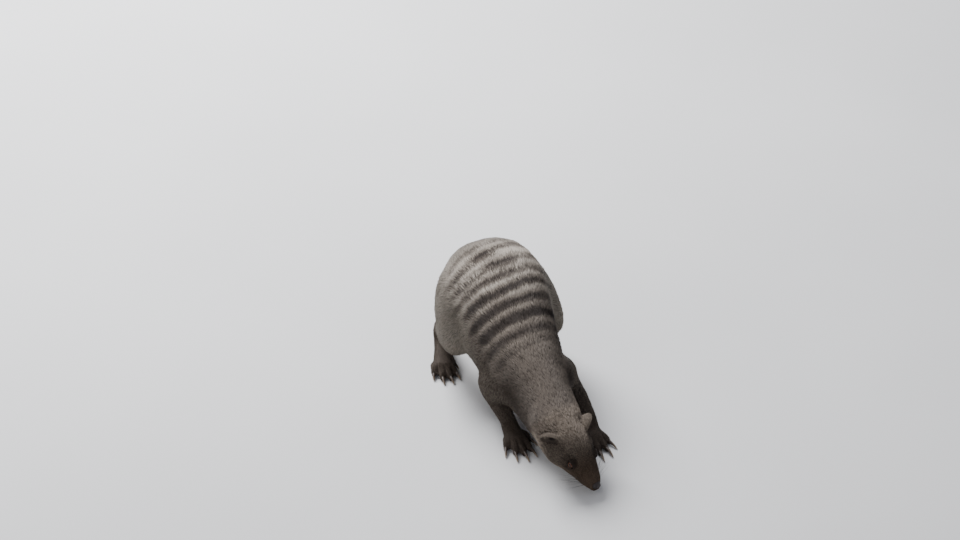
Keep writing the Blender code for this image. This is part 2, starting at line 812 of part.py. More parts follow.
def claw(name, tip, ahead, length, grow=0.0):
    """A claw that leaves the toe's end, arches, and comes down to a point."""
    root = tip - ahead * TOE_RADIUS * CLAW_ROOT + Vector((0, 0, CLAW_ROOT_RISE))
    arch = tip + ahead * length / 2 + Vector((0, 0, CLAW_ARCH_RISE))
    point = tip + ahead * length
    point.z = CLAW_POINT_HEIGHT
    stations = [(at, CLAW_RADIUS * share + grow) for at, share in zip((root, arch, point), CLAW_TAPER)]
    return new_object(name, rod(stations, steps=1, resolution=0, dome=1), "claw")


def set_in(holders, make, name, *where):
    """Makes a solid and cuts its seat, a hair wider, in each piece of flesh that holds it."""
    seat = make("seat", *where, grow=FIT)
    for flesh in holders:
        boolean(flesh, "DIFFERENCE", seat)
    remove(seat)
    return make(name, *where)


def claws_of(side, foot, station, toes, length, flesh):
    """The five claws of one foot."""
    made = []
    for toe, (_, tip, ahead) in zip(TOE_NAMES, toe_lines(side, station, toes)):
        made.append(set_in([flesh], claw, f"claw_{foot}_{side}_{toe}", tip, ahead, length))
    return made


# ---------------------------------------------------------------- the parts


def middle_of(side, stations):
    """The middle station of a stretch of leg, as a point."""
    x, y, z, _, _ = stations[len(stations) // 2]
    return on_side(side, x, y, z)


def joint_cut(joint, offset, normal, sides):
    """A plate near a joint of a leg."""
    wide, tall = sides
    return slab(joint + cm(*offset), Vector(normal), cm(wide), cm(tall))


def fore_limb(body, side):
    """A foreleg: upper arm, forearm and paw with its claws."""
    upper, lower, paw = leg_stations(side)[0]
    limb = take_limb(body, "foreleg", side, *SHOULDER_CUT[side])
    elbow, wrist = on_side(side, *upper[-1][:3]), on_side(side, *paw[0][:3])
    along = (wrist - elbow).normalized()
    down, (wide, tall) = WRIST_CUT
    cutters = [joint_cut(elbow, *ELBOW_CUT), slab(wrist + along * cm(down), along, cm(wide), cm(tall))]
    return part_with(
        limb,
        cutters,
        {
            f"upper_arm_{side}": (on_side(side, *INSIDE_UPPER_ARM), "coat"),
            f"forearm_{side}": (middle_of(side, lower), "coat"),
            f"forepaw_{side}": (middle_of(side, paw), "dark_coat"),
        },
    )


def hind_limb(body, side):
    """A hind leg: thigh, shank and foot with its claws."""
    upper, lower, foot = leg_stations(side)[1]
    limb = take_limb(body, "hindleg", side, *HIP_CUT[side])
    knee, heel = on_side(side, *lower[0][:3]), on_side(side, *foot[0][:3])
    cutters = [joint_cut(knee, *KNEE_CUT), joint_cut(heel, *HEEL_CUT)]
    return part_with(
        limb,
        cutters,
        {
            f"thigh_{side}": (middle_of(side, upper), "coat"),
            f"shank_{side}": (middle_of(side, lower), "coat"),
            f"hind_foot_{side}": (middle_of(side, foot), "dark_coat"),
        },
    )


def trunk_cut(station):
    """A plate through the trunk at one of its stations, which may lie between two."""
    first = int(station)
    share = station - first
    near, far = TRUNK[first], TRUNK[first + 1]
    ends = []
    for k in (1, 2):
        a, b = cm(near[0], *near[k]), cm(far[0], *far[k])
        ends.append(a.lerp(b, share))
    back, belly = ends
    normal = (back - belly).cross(Vector((1, 0, 0)))
    wide, taller = TRUNK_PLATE
    return slab((back + belly) / 2, normal, cm(wide), (back - belly).length + cm(taller))


def tail_cut(station):
    """A plate through the tail at one of its stations."""
    here, ahead = cm(*TAIL[station][:3]), cm(*TAIL[station + 1][:3])
    side = cm(2 * TAIL[station][3] + TAIL_PLATE)
    return slab(here, ahead - cm(*TAIL[station - 1][:3]), side, side)


def head_cuts():
    """The nape's plate and the two plates round the lower jaw."""
    along, across, above = head_axes()
    tall, wide = HEAD_PLATE
    yield block(head_point(cm(NAPE_CUT), 0, 0), (across, above, along), (cm(tall), cm(wide), CUT))
    front, corner, end = (head_point(cm(back), 0, cm(up)) for back, up in (MOUTH_FRONT, MOUTH_END, JAW_END))
    for here, there in ((front, corner), (corner, end)):
        run = (there - here).normalized()
        reach = (there - here).length + CUT
        yield block((here + there) / 2, (across, run, across.cross(run)), (cm(wide), reach, CUT))


def body_parts(body):
    """Head, jaw, neck, trunk and tail, parted from what is left once the legs are off."""
    names = {}
    for name, (back, up) in (("head", INSIDE_HEAD), ("lower_jaw", INSIDE_JAW)):
        names[name] = (head_point(cm(back), 0, cm(up)), "coat")
    for name, point in INSIDE_TRUNK.items():
        names[name] = (cm(*point), "coat")
    names["tail_tip"] = (cm(*INSIDE_TAIL_TIP), "dark_coat")
    cutters = [*head_cuts(), *map(trunk_cut, TRUNK_CUTS), *map(tail_cut, TAIL_CUTS)]
    return part_with(body, cutters, names)


def build():
    """Every named part, in a collection of its own, standing on the floor round the origin."""
    body = fused_body()
    parts = {}
    for side in SIDES:
        parts.update(fore_limb(body, side))
        parts.update(hind_limb(body, side))
    parts.update(body_parts(body))
    parts["nose"] = set_in([parts["head"], parts["lower_jaw"]], nose, "nose")
    for side in SIDES:
        parts[f"eye_{side}"] = set_in([parts["head"]], eye, f"eye_{side}", side)
        parts[f"ear_{side}"] = set_in([parts["head"]], ear, f"ear_{side}", side)
        foreleg, hindleg = leg_stations(side)
        feet = (
            ("fore", foreleg, FORE_TOES, FORE_CLAW, f"forepaw_{side}"),
            ("hind", hindleg, HIND_TOES, HIND_CLAW, f"hind_foot_{side}"),
        )
        for foot, leg, toes, length, flesh in feet:
            for made in claws_of(side, foot, leg[-1][-1], toes, length, parts[flesh]):
                parts[made.name] = made
    return list(parts.values())


def centre_on_origin(parts):
    """Hangs the parts on an empty that puts the middle of the footprint on the origin."""
    corners = np.array([v.co for part in parts for v in part.data.vertices])
    low, high = corners.min(0), corners.max(0)
    animal = bpy.data.objects.new("banded_mongoose", None)
    gathered(PARTS_GROUP).objects.link(animal)
    animal.location = (-(low[0] + high[0]) / 2, -(low[1] + high[1]) / 2, -low[2])
    for part in parts:
        part.parent = animal


def settle(part):
    """Puts a part's origin in its middle and shades it smooth."""
    middle = sum((v.co for v in part.data.vertices), Vector()) / len(part.data.vertices)
    part.data.transform(Matrix.Translation(-middle))
    part.location = middle
    part.data.shade_smooth()
    part.data.set_sharp_from_angle(angle=SHARP_ANGLE)


def main():
    for obj in list(bpy.data.objects):
        remove(obj)
    parts = build()
    centre_on_origin(parts)
    for part in parts:
        settle(part)
    bpy.data.collections.remove(gathered(CUTTERS_GROUP))


main()
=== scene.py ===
"""The looks of a life-size banded mongoose: skin, coat, eyes, nose leather, claws, whiskers and a studio.

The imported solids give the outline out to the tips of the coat. One skin is drawn from them, lying
inside them by the coat's depth, and solid tufts bring the outline back. Lengths are metres, the
animal faces -Y and its left side is +X.
"""

import math

import bmesh
import bpy
import numpy as np
from bpy.props import EnumProperty, FloatProperty, FloatVectorProperty, IntProperty, PointerProperty
from mathutils import Matrix, Vector
from mathutils.bvhtree import BVHTree


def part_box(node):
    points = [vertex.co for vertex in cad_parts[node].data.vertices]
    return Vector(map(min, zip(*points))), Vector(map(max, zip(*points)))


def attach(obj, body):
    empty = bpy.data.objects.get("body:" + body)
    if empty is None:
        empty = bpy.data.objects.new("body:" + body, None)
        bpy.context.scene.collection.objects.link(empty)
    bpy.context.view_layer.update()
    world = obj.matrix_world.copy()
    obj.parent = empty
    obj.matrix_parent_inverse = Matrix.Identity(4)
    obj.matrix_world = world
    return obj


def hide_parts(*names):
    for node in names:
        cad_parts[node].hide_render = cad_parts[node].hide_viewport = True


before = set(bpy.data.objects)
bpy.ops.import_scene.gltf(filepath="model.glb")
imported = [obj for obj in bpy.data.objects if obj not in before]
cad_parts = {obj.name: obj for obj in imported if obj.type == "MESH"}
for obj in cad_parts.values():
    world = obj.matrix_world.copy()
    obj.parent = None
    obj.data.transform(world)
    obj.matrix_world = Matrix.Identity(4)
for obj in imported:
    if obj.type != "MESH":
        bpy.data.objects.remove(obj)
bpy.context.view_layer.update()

bl_info = {
    "name": "Banded Mongoose",
    "version": (1, 0, 0),
    "blender": (4, 5, 0),
    "location": "3D View > Sidebar > Mongoose",
    "description": "Dresses the solids of a banded mongoose with skin, coat, eyes, nose, claws and whiskers",
    "category": "Object",
}

MM = 0.001
CM = 0.01

SIDES = {"left": 1, "right": -1}
HARD_PARTS = ("eye", "nose", "claw")

# How the coat grows on each part: depth of the coat over the skin, length and width of a tuft,
# all in millimetres, then how pale and how warm its hair is from 0 to 1
COAT = {
    "head": (1.8, 6.0, 0.7, 0.43, 0.22),
    "lower_jaw": (0.9, 3.5, 0.55, 0.54, 0.28),
    "ear": (0.45, 2.2, 0.45, 0.51, 0.22),
    "neck": (2.4, 9.5, 0.95, 0.25, 0.10),
    "chest": (3.0, 11.5, 1.05, 0.37, 0.08),
    "abdomen": (3.6, 13.5, 1.15, 0.65, 0.06),
    "rump": (4.2, 17.0, 1.25, 0.59, 0.02),
    "tail_root": (4.2, 19.0, 1.35, 0.46, 0.08),
    "tail_middle": (3.8, 18.0, 1.25, 0.38, 0.15),
    "tail_tip": (2.1, 13.0, 1.0, 0.14, 0.20),
    "upper_arm": (2.0, 7.5, 0.9, 0.41, 0.10),
    "forearm": (1.4, 4.6, 0.65, 0.36, 0.20),
    "forepaw": (0.7, 2.4, 0.45, 0.25, 0.25),
    "thigh": (3.1, 11.5, 1.1, 0.63, 0.03),
    "shank": (1.7, 7.0, 0.9, 0.44, 0.12),
    "hind_foot": (0.8, 2.8, 0.5, 0.27, 0.25),
    "claw": (0.5, 2.0, 0.5, 0.10, 0.30),
    "nose": (0.7, 1.5, 0.4, 0.20, 0.30),
    "eye": (0.2, 2.0, 0.4, 0.20, 0.20),
}
PARTS = tuple(COAT)

# Down the head, from the nose tip: distance in millimetres, then coat depth, tuft length and width
FACE_COAT = (
    (0, 0.45, 1.6, 0.38),
    (10, 0.6, 2.4, 0.45),
    (20, 0.85, 3.2, 0.5),
    (33, 1.1, 4.4, 0.58),
    (48, 1.5, 6.0, 0.72),
    (65, 2.0, 8.0, 0.85),
    (85, 2.5, 10.0, 1.0),
)
JAW_LENGTH = 0.8  # share of that length which grows under the jaw

# Line of the backbone in centimetres, from between the shoulders' front to the tail's tip
BACKBONE = (
    (-0.78, -16.2, 3.75),
    (-0.98, -14.1, 4.4),
    (-1.28, -10.1, 5.5),
    (-1.58, -6.0, 6.55),
    (-1.58, -2.2, 7.95),
    (-1.53, 1.2, 9.3),
    (-1.48, 4.2, 10.3),
    (-1.48, 6.8, 10.4),
    (-1.48, 8.7, 9.8),
    (-1.48, 11.1, 8.7),
    (-1.28, 13.3, 6.2),
    (-0.78, 15.7, 3.6),
    (0.42, 18.3, 1.65),
    (2.42, 20.1, 1.12),
    (4.72, 20.5, 0.9),
    (6.82, 19.8, 0.66),
    (8.42, 18.6, 0.38),
)
# The top of the back, (y, z) in centimetres
BACK_LINE = (
    (-17.1, 5.6),
    (-15.1, 6.95),
    (-11.3, 8.5),
    (-7.5, 10.2),
    (-3.8, 12.2),
    (-0.1, 14.1),
    (3.5, 15.35),
    (6.9, 14.55),
    (9.3, 12.5),
    (10.8, 10.7),
)
# The dark bands from the rump forward: where each crosses the top of the back (y, centimetres), and
# how strong it is
BANDS = (
    # the rearmost bands are faint, partly real and partly painted sheen of the light grazing the rump's crest
    (9.0, 0.2),
    (7.3, 0.2),
    (5.6, 0.45),
    (3.85, 0.85),
    (2.0, 1.0),
    (0.35, 1.0),
    (-1.05, 1.25),
    (-2.65, 0.75),
    (-4.4, 1.1),
    (-5.95, 0.45),
    (-7.2, 0.4),
)
BAND_SLANT = 0.2  # how much further back a band lies on the animal's left, per length across
# To the left the bands grow thinner and paler: how far they go on doing so, and how much of each
BAND_FADE, BAND_THINNING, BAND_PALING = 4 * CM, 0.35, 0.32
BAND_GAIN = 0.2  # most that they gain to the right, as a share of what they lose to the left
BAND_EDGE = 2.0  # sharpness of a band's edges
BAND_BREADTH = 0.22  # above 0, the dark is broader than the pale between
DARKER, PALER = 0.74, 0.1  # how much a full band darkens the hair, and how much the hair between pales
DARKEST = -0.3  # least paleness of the hair in them
BAND_ENDS = (58, 84)  # where the bands end on the flanks, in degrees round the backbone
BAND_RUN_OUT = 8 * MM  # fading of the first and the last band
BAND_WAVES = ((50 * MM, 3, 1.2 * MM), (12 * MM, 4, 0.45 * MM))  # their wavering: size, seed and depth
RAGGED_ENDS = (18 * MM, 5, 7)  # that of their ends, its depth in degrees

# Coat pieces: the parts that each covers, how many tufts, and rings along a tuft
COAT_PIECES = {
    "face": (("head", "lower_jaw", "ear", "eye"), 19500, 2),
    "neck": (("neck",), 19500, 2),
    "chest": (("chest",), 19000, 2),
    "abdomen": (("abdomen",), 19500, 2),
    "rump": (("rump",), 15000, 2),
    "thighs": (("thigh",), 16000, 2),
    "tail": (("tail_root", "tail_middle", "tail_tip"), 9500, 3),
    "forelegs": (("upper_arm", "forearm", "forepaw"), 12500, 2),
    "hind_legs": (("shank", "hind_foot"), 13500, 2),
}


# ---------------------------------------------------------------- the user's sizes and colours


def a_length(title, note, default):
    return FloatProperty(name=title, description=note, default=default, unit="LENGTH")


def an_angle(title, note, degrees):
    return FloatProperty(name=title, description=note, default=math.radians(degrees), subtype="ANGLE")


def a_power(title, note, default):
    return FloatProperty(name=title, description=note, default=default, unit="POWER")


def a_share(title, note, default, least, most):
    return FloatProperty(name=title, description=note, default=default, min=least, max=most, subtype="FACTOR")


def a_colour(title, note, default):
    return FloatVectorProperty(name=title, description=note, default=default, subtype="COLOR")


class MongooseSkin(bpy.types.PropertyGroup):
    grain: a_length("Grain", "Grain that the skin is drawn at", 1.0 * MM)
    overlap: a_length("Overlap", "How far the solids swell to close the cuts between them", 0.4 * MM)
    body_share: a_share("Body Detail", "Share of faces kept under the long coat", 0.32, 0.05, 1)
    lid: a_length("Lid", "How far the lids stand off the eyeball", 0.75 * MM)
    lips: a_length("Lips", "Depth of the line of the mouth", 1.3 * MM)


class MongooseCoat(bpy.types.PropertyGroup):
    fullness: a_share("Fullness", "Share of the tufts that are made", 1, 0.05, 1)
    raggedness: a_share("Raggedness", "How much tufts differ in length and lift", 0.15, 0, 0.6)
    parting: an_angle("Parting", "How far tufts turn from the lie of the coat", 6.5)
    patch: FloatProperty(
        name="Patch", description="Width of a tuft's patch on the unwrapped skin", default=0.003, precision=4
    )
    seed: IntProperty(name="Seed", description="Seed of the coat's chance", default=7)


class MongooseColours(bpy.types.PropertyGroup):
    dark_hair: a_colour("Dark Hair", "Dark rings and bands", (0.022, 0.017, 0.014))
    brown_hair: a_colour("Brown Hair", "Between dark and buff", (0.095, 0.08, 0.066))
    buff_hair: a_colour("Buff Hair", "The pale rings", (0.245, 0.218, 0.182))
    cream_hair: a_colour("Cream Hair", "The palest tips", (0.43, 0.4, 0.35))
    warmth: a_colour("Warmth", "Rufous cast of face and feet", (1.0, 0.72, 0.5))
    bare_skin: a_colour("Bare Skin", "Lids and lips", (0.02, 0.014, 0.012))
    iris: a_colour("Iris", "The iris at its brightest", (0.11, 0.036, 0.011))
    nose: a_colour("Nose", "Nose leather", (0.017, 0.0115, 0.01))
    claw: a_colour("Claw", "Claw horn at the root", (0.05, 0.034, 0.024))
    claw_tip: a_colour("Claw Tip", "Claw horn at the tip", (0.27, 0.2, 0.135))
    whisker: a_colour("Whisker", "Whiskers", (0.03, 0.025, 0.022))
    floor: a_colour("Floor", "The studio floor", (0.62, 0.61, 0.59))


class MongooseStudio(bpy.types.PropertyGroup):
    azimuth: an_angle("Azimuth", "Direction of the camera round the animal", -20)
    elevation: an_angle("Elevation", "Height of the camera as an angle", 35)
    distance: a_length("Distance", "Camera to the aim point", 2.96)
    lens: FloatProperty(name="Lens", description="Focal length in millimetres", default=100)
    aim: FloatVectorProperty(
        name="Aim",
        description="Point at the middle of the view",
        default=(-0.0026, 0.1147, 0.07),
        subtype="XYZ",
    )
    key: a_power("Key Light", "Power of the large soft light", 145)
    fill: a_power("Fill Light", "Power of the fill light", 12)
    sky: FloatProperty(name="Sky", description="Strength of the even light all round", default=0.5)


# ---------------------------------------------------------------- where things are


def part_of(node):
    """The kind of part that a node is, as named in COAT."""
    for part in sorted(PARTS, key=len, reverse=True):
        if node.startswith(part):
            return part
    raise ValueError(f"no coat is given for {node}")


def lies_on(parts, *names):
    """Which points lie on these parts."""
    return np.isin(parts, [PARTS.index(name) for name in names])


def middle(node):
    """The middle of a node's box."""
    low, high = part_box(node)
    return (low + high) / 2


class HeadFrame:
    """The head's own directions and origin, from where its eyes and nose are set."""

    NOSE = (0.26 * CM, 0.26 * CM)  # behind the nose tip and above the head's axis
    EYE = (3.3 * CM, 0.72 * CM)

    def __init__(self):
        left_eye, right_eye, nose = middle("eye_left"), middle("eye_right"), middle("nose")
        self.left = (left_eye - right_eye).normalized()
        back = ((left_eye + right_eye) / 2 - nose).normalized()
        tilt = math.atan2(self.EYE[1] - self.NOSE[1], self.EYE[0] - self.NOSE[0])
        rise = self.left.cross(back)
        self.along = back * math.cos(tilt) - rise * math.sin(tilt)
        self.up = rise * math.cos(tilt) + back * math.sin(tilt)
        self.tip = nose - self.along * self.NOSE[0] - self.up * self.NOSE[1]
        self.axes = np.array((self.along, self.left, self.up))

    def inside(self, points):
        """Points as distances behind the nose tip, to the left, and above the axis."""
        return (np.asarray(points) - np.array(self.tip)) @ self.axes.T

    def one_side(self, points):
        """The same, with both sides of the head laid on its left."""
        place = self.inside(points)
        place[:, 1] = np.abs(place[:, 1])
        return place

    def outside(self, points):
        """The other way round: from the head's own distances to the room's."""
        return np.asarray(points) @ self.axes + np.array(self.tip)

    def point(self, back, left, up):
        """A point of the head, from centimetres."""
        return Vector(self.outside((back * CM, left * CM, up * CM)))

    def way(self, back, left, up):
        """A direction of the head."""
        return (self.left * left + self.up * up + self.along * back).normalized()


HEAD = HeadFrame()


def smooth_line(points, steps):
    """A line of points run through a smooth curve."""
    rows = [np.array(p, float) for p in points]
    rows = [2 * rows[0] - rows[1], *rows, 2 * rows[-1] - rows[-2]]
    made = []
    for a, b, c, d in zip(rows, rows[1:], rows[2:], rows[3:]):
        for t in np.arange(steps) / steps:
            bend = (c - a) * t + (2 * a - 5 * b + 4 * c - d) * t**2 + (3 * b - a - 3 * c + d) * t**3
            made.append(b + bend / 2)
    return np.array([*made, rows[-2]])


SPINE_STEPS = 3
SPINE = smooth_line(BACKBONE, SPINE_STEPS) * CM
BACK_STATIONS = 9  # stations of the backbone that lie under the banded back


def along_spine(points):
    """How far along the backbone each point lies, the backbone's direction there and its nearest place."""
    spans = np.diff(SPINE, axis=0)
    lengths = np.linalg.norm(spans, axis=1)
    starts = np.concatenate(([0], np.cumsum(lengths)[:-1]))
    least = np.full(len(points), 1e9)
    reach = np.zeros(len(points))
    heading = np.zeros((len(points), 3))
    foot = np.zeros((len(points), 3))
    for origin, span, length, start in zip(SPINE, spans, lengths, starts):
        share = np.clip((points - origin) @ span / length**2, 0, 1)
        near = origin + share[:, None] * span
        gap = ((points - near) ** 2).sum(1)
        closer = gap < least
        least[closer] = gap[closer]
        reach[closer] = start + share[closer] * length
        heading[closer] = span / length
        foot[closer] = near[closer]
    return reach, heading, foot


def band_places():
    """How far along the backbone each dark band lies."""
    line = np.array(BACK_LINE) * CM
    crossings = np.array(BANDS)[:, 0] * CM
    tops = np.interp(crossings, *line.T)
    x, y, _ = SPINE[: SPINE_STEPS * BACK_STATIONS].T
    middles = np.interp(crossings, y, x)
    return along_spine(np.stack((middles, crossings, tops), 1))[0]


RIPPLES, RIPPLE_SIZES, RIPPLE_SUM = 7, (0.6, 1.5), 3.2  # how many waves, their sizes, and their usual sum


def ripple(points, size, seed):
    """A soft, even chance between -1 and 1 that changes over about the given size."""
    chance = np.random.default_rng(seed)
    total = np.zeros(len(points))
    for _ in range(RIPPLES):
        direction = chance.normal(size=3)
        direction *= 2 * math.pi / size / np.linalg.norm(direction) * chance.uniform(*RIPPLE_SIZES)
        total += np.sin(points @ direction + chance.uniform(0, 2 * math.pi))
    return np.clip(total / RIPPLE_SUM, -1, 1)


def eased(values, low, high):
    """0 below low, 1 above high, and a soft step between."""
    t = np.clip((values - low) / (high - low), 0, 1)
    return t * t * (3 - 2 * t)


def hump(values, peak, width):
    """1 at the peak, and nearly 0 beyond twice the width from it."""
    return np.exp(-(((values - peak) / width) ** 2))


def banded(points, pale, jitter=0.0):
    """How pale the hair is at each point once the bands of the back are drawn over its plain shade."""
    reach, _, foot = along_spine(points)
    away = points - foot
    reach = reach + jitter - BAND_SLANT * away[:, 0]
    for size, seed, depth in BAND_WAVES:
        reach = reach + ripple(points, size, seed) * depth
    round_back = np.degrees(np.arctan2(np.abs(away[:, 0]), away[:, 2]))
    places = band_places()[::-1]
    strengths = np.array(BANDS)[::-1, 1]
    count = np.arange(len(places), dtype=float)
    turn = np.interp(reach, places, count, left=-0.5, right=len(places) - 0.5)
    strength = np.interp(reach, places, strengths, left=0, right=0)
    first, last = places[0], places[-1]
    ends = eased(reach, first - BAND_RUN_OUT, first) * (1 - eased(reach, last, last + BAND_RUN_OUT))
    size, seed, depth = RAGGED_ENDS
    sides = 1 - eased(round_back + ripple(points, size, seed) * depth, *BAND_ENDS)
    leftward = np.clip(away[:, 0] / BAND_FADE, -BAND_GAIN, 1)
    wave = -BAND_EDGE * np.cos(2 * math.pi * turn) - BAND_BREADTH + BAND_THINNING * leftward
    wave = np.tanh(wave) * (1 - BAND_PALING * leftward)
    change = np.where(wave < 0, wave * DARKER, wave * PALER)
    return np.clip(pale + change * strength * ends * sides, DARKEST, 1)


# ---------------------------------------------------------------- meshes


def new_piece(name, mesh):
    """An object in the scene made of a mesh or a bmesh."""
    if isinstance(mesh, bmesh.types.BMesh):
        data = bpy.data.meshes.new(name)
        mesh.to_mesh(data)
        mesh.free()
        mesh = data
    mesh.name = name
    return placed(name, mesh)


def placed(name, data):
    """A new object in the scene."""
    made = bpy.data.objects.new(name, data)
    bpy.context.scene.collection.objects.link(made)
    return made


def shape_of(thing):
    """A mesh of the shape that an object's modifiers or bevel give it."""
    bpy.context.view_layer.update()
    graph = bpy.context.evaluated_depsgraph_get()
    return bpy.data.meshes.new_from_object(thing.evaluated_get(graph))


def apply_modifiers(piece):
    """Makes the modified shape the piece's own mesh."""
    made = shape_of(piece)
    piece.modifiers.clear()
    old, piece.data = piece.data, made
    bpy.data.meshes.remove(old)


def dressed(piece, material):
    """The piece, shaded smooth and given its one material."""
    piece.data.shade_smooth()
    piece.data.materials.clear()
    piece.data.materials.append(material)
    return piece


def placing(axes, origin):
    """The matrix that takes a shape from the origin to its place."""
    matrix = Matrix(axes).transposed().to_4x4()
    matrix.translation = origin
    return matrix


def read(items, field, width, kind=float):
    """A field of all the vertices, edges or faces of a mesh as rows of numbers."""
    values = np.empty(len(items) * width, kind)
    items.foreach_get(field, values)
    return values.reshape(-1, width) if width > 1 else values


def triangles(mesh):
    """The corners of a mesh's triangles."""
    mesh.calc_loop_triangles()
    return read(mesh.loop_triangles, "vertices", 3, np.int32)


def tree_of(points, corners):
    """The faces with these corners, to ask which is nearest."""
    return BVHTree.FromPolygons([tuple(p) for p in points], [tuple(c) for c in corners])


def place_points(mesh, points):
    mesh.vertices.foreach_set("co", np.ascontiguousarray(points, np.float32).ravel())
    mesh.update()


def keep(mesh, name, values):
    """Stores a number or a vector of each vertex under a name."""
    kind, field = ("FLOAT_VECTOR", "vector") if np.ndim(values) > 1 else ("FLOAT", "value")
    attribute = mesh.attributes.get(name) or mesh.attributes.new(name, kind, "POINT")
    attribute.data.foreach_set(field, np.ascontiguousarray(values, np.float32).ravel())


def kept(mesh, name):
    """What keep() stored."""
    attribute = mesh.attributes[name]
    vector = attribute.data_type == "FLOAT_VECTOR"
    return read(attribute.data, "vector" if vector else "value", 3 if vector else 1, np.float32).astype(float)


def unit(vectors):
    return vectors / np.maximum(np.linalg.norm(vectors, axis=-1, keepdims=True), 1e-9)


def spread(edges, values, rounds, share=0.5):
    """Values of the vertices evened out along the edges; share may differ from vertex to vertex."""
    flat = np.ndim(values) == 1
    values = values[:, None] if flat else values
    share = share[:, None] if np.ndim(share) else share
    count = len(values)
    a, b = edges.T
    degree = np.maximum(np.bincount(edges.ravel(), minlength=count), 1)[:, None]
    for _ in range(rounds):
        columns = [np.bincount(a, v[b], count) + np.bincount(b, v[a], count) for v in values.T]
        values = values * (1 - share) + share * np.stack(columns, 1) / degree
    return values[:, 0] if flat else values


# ---------------------------------------------------------------- the skin


def nodes_joined(overlap):
    """All the solids as one mesh, each swollen a little so that the thin cuts between them close."""
    whole = bmesh.new()
    for name in sorted(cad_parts):
        part = bmesh.new()
        part.from_mesh(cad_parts[name].data)
        bmesh.ops.remove_doubles(part, verts=part.verts, dist=1e-6)
        part.normal_update()
        for vertex in part.verts:
            vertex.co += vertex.normal * overlap
        data = bpy.data.meshes.new("swollen")
        part.to_mesh(data)
        part.free()
        whole.from_mesh(data)
        bpy.data.meshes.remove(data)
    return whole


class Solids:
    """The solids as they are packed, to ask which part a point lies on."""

    def __init__(self):
        corners, faces, self.part = [], [], []
        for name in sorted(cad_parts):
            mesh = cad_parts[name].data
            start = len(corners)
            corners.extend(tuple(v.co) for v in mesh.vertices)
            faces.extend([start + i for i in f.vertices] for f in mesh.polygons)
            self.part.extend([PARTS.index(part_of(name))] * len(mesh.polygons))
        self.names = [n for n in sorted(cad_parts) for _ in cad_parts[n].data.polygons]
        self.tree = BVHTree.FromPolygons(corners, faces)

    def faces_at(self, points):
        return [self.tree.find_nearest(p)[2] for p in points]


FINE_PARTS = ("head", "lower_jaw", "ear", "forepaw", "hind_foot", "claw", "nose", "eye")
FINE_FACE = (4.4 * CM, 2.6 * CM, 1.6 * CM)  # length, half width and depth below the axis of the fine face
FINE_EAR = 1.5 * CM


def fused_skin(settings):
    """One closed skin over all the solids, coarser under the long coat, finest round eyes and mouth."""
    skin = new_piece("skin", nodes_joined(settings.overlap))
    fuse = skin.modifiers.new("Fuse", "REMESH")
    fuse.mode = "VOXEL"
    fuse.voxel_size = settings.grain
    apply_modifiers(skin)
    solids = Solids()
    points = read(skin.data.vertices, "co", 3)
    fine = lies_on(np.array(solids.part)[solids.faces_at(points)], *FINE_PARTS)
    coarse = skin.vertex_groups.new(name="coarse")
    coarse.add([int(i) for i in np.flatnonzero(~fine)], 1.0, "REPLACE")
    reduce = skin.modifiers.new("Reduce", "DECIMATE")
    reduce.ratio = settings.body_share
    reduce.vertex_group = coarse.name
    apply_modifiers(skin)
    skin.vertex_groups.clear()
    mesh = bmesh.new()
    mesh.from_mesh(skin.data)
    place = HEAD.one_side([v.co for v in mesh.verts])
    face_length, face_half_width, face_depth = FINE_FACE
    near = (place[:, 0] < face_length) & (place[:, 1] < face_half_width) & (place[:, 2] > -face_depth)
    near |= np.linalg.norm(place - np.array(EAR_AT) * CM, axis=1) < FINE_EAR
    mesh.verts.ensure_lookup_table()
    detail = [e for e in mesh.edges if all(near[v.index] for v in e.verts)]
    bmesh.ops.subdivide_edges(mesh, edges=detail, cuts=1, use_grid_fill=True)
    bmesh.ops.triangulate(mesh, faces=[f for f in mesh.faces if len(f.verts) > 4])
    mesh.to_mesh(skin.data)
    mesh.free()
    return skin, solids


TRUNK = ("neck", "chest", "abdomen", "rump")
HEAD_PARTS = ("head", "lower_jaw", "nose", "eye")
# The node that the hair of each stretch of a leg points to
HAIR_POINTS_TO = {
    "upper_arm": "forearm_{}",
    "forearm": "forepaw_{}",
    "forepaw": "claw_fore_{}_middle",
    "thigh": "shank_{}",
    "shank": "hind_foot_{}",
    "hind_foot": "claw_hind_{}_middle",
}
FLANK_FALL = (0.35, 4 * CM)  # how steeply hair falls on the flanks, and how far out it falls so
THIGH_SWEEP = 0.55  # backward share of the hair on the thighs
CHEEK_SPREAD = 0.25  # outward share of the hair on the head
ROUND_EYE = (0.8, 5 * MM, 10 * MM)  # share of hair turned away from the eye, and where that ends
EAR_ROOT = (5.6, 0, -0.6)  # on the head, in centimetres
EAR_SWEEP = 0.3  # backward share of the hair on the ears


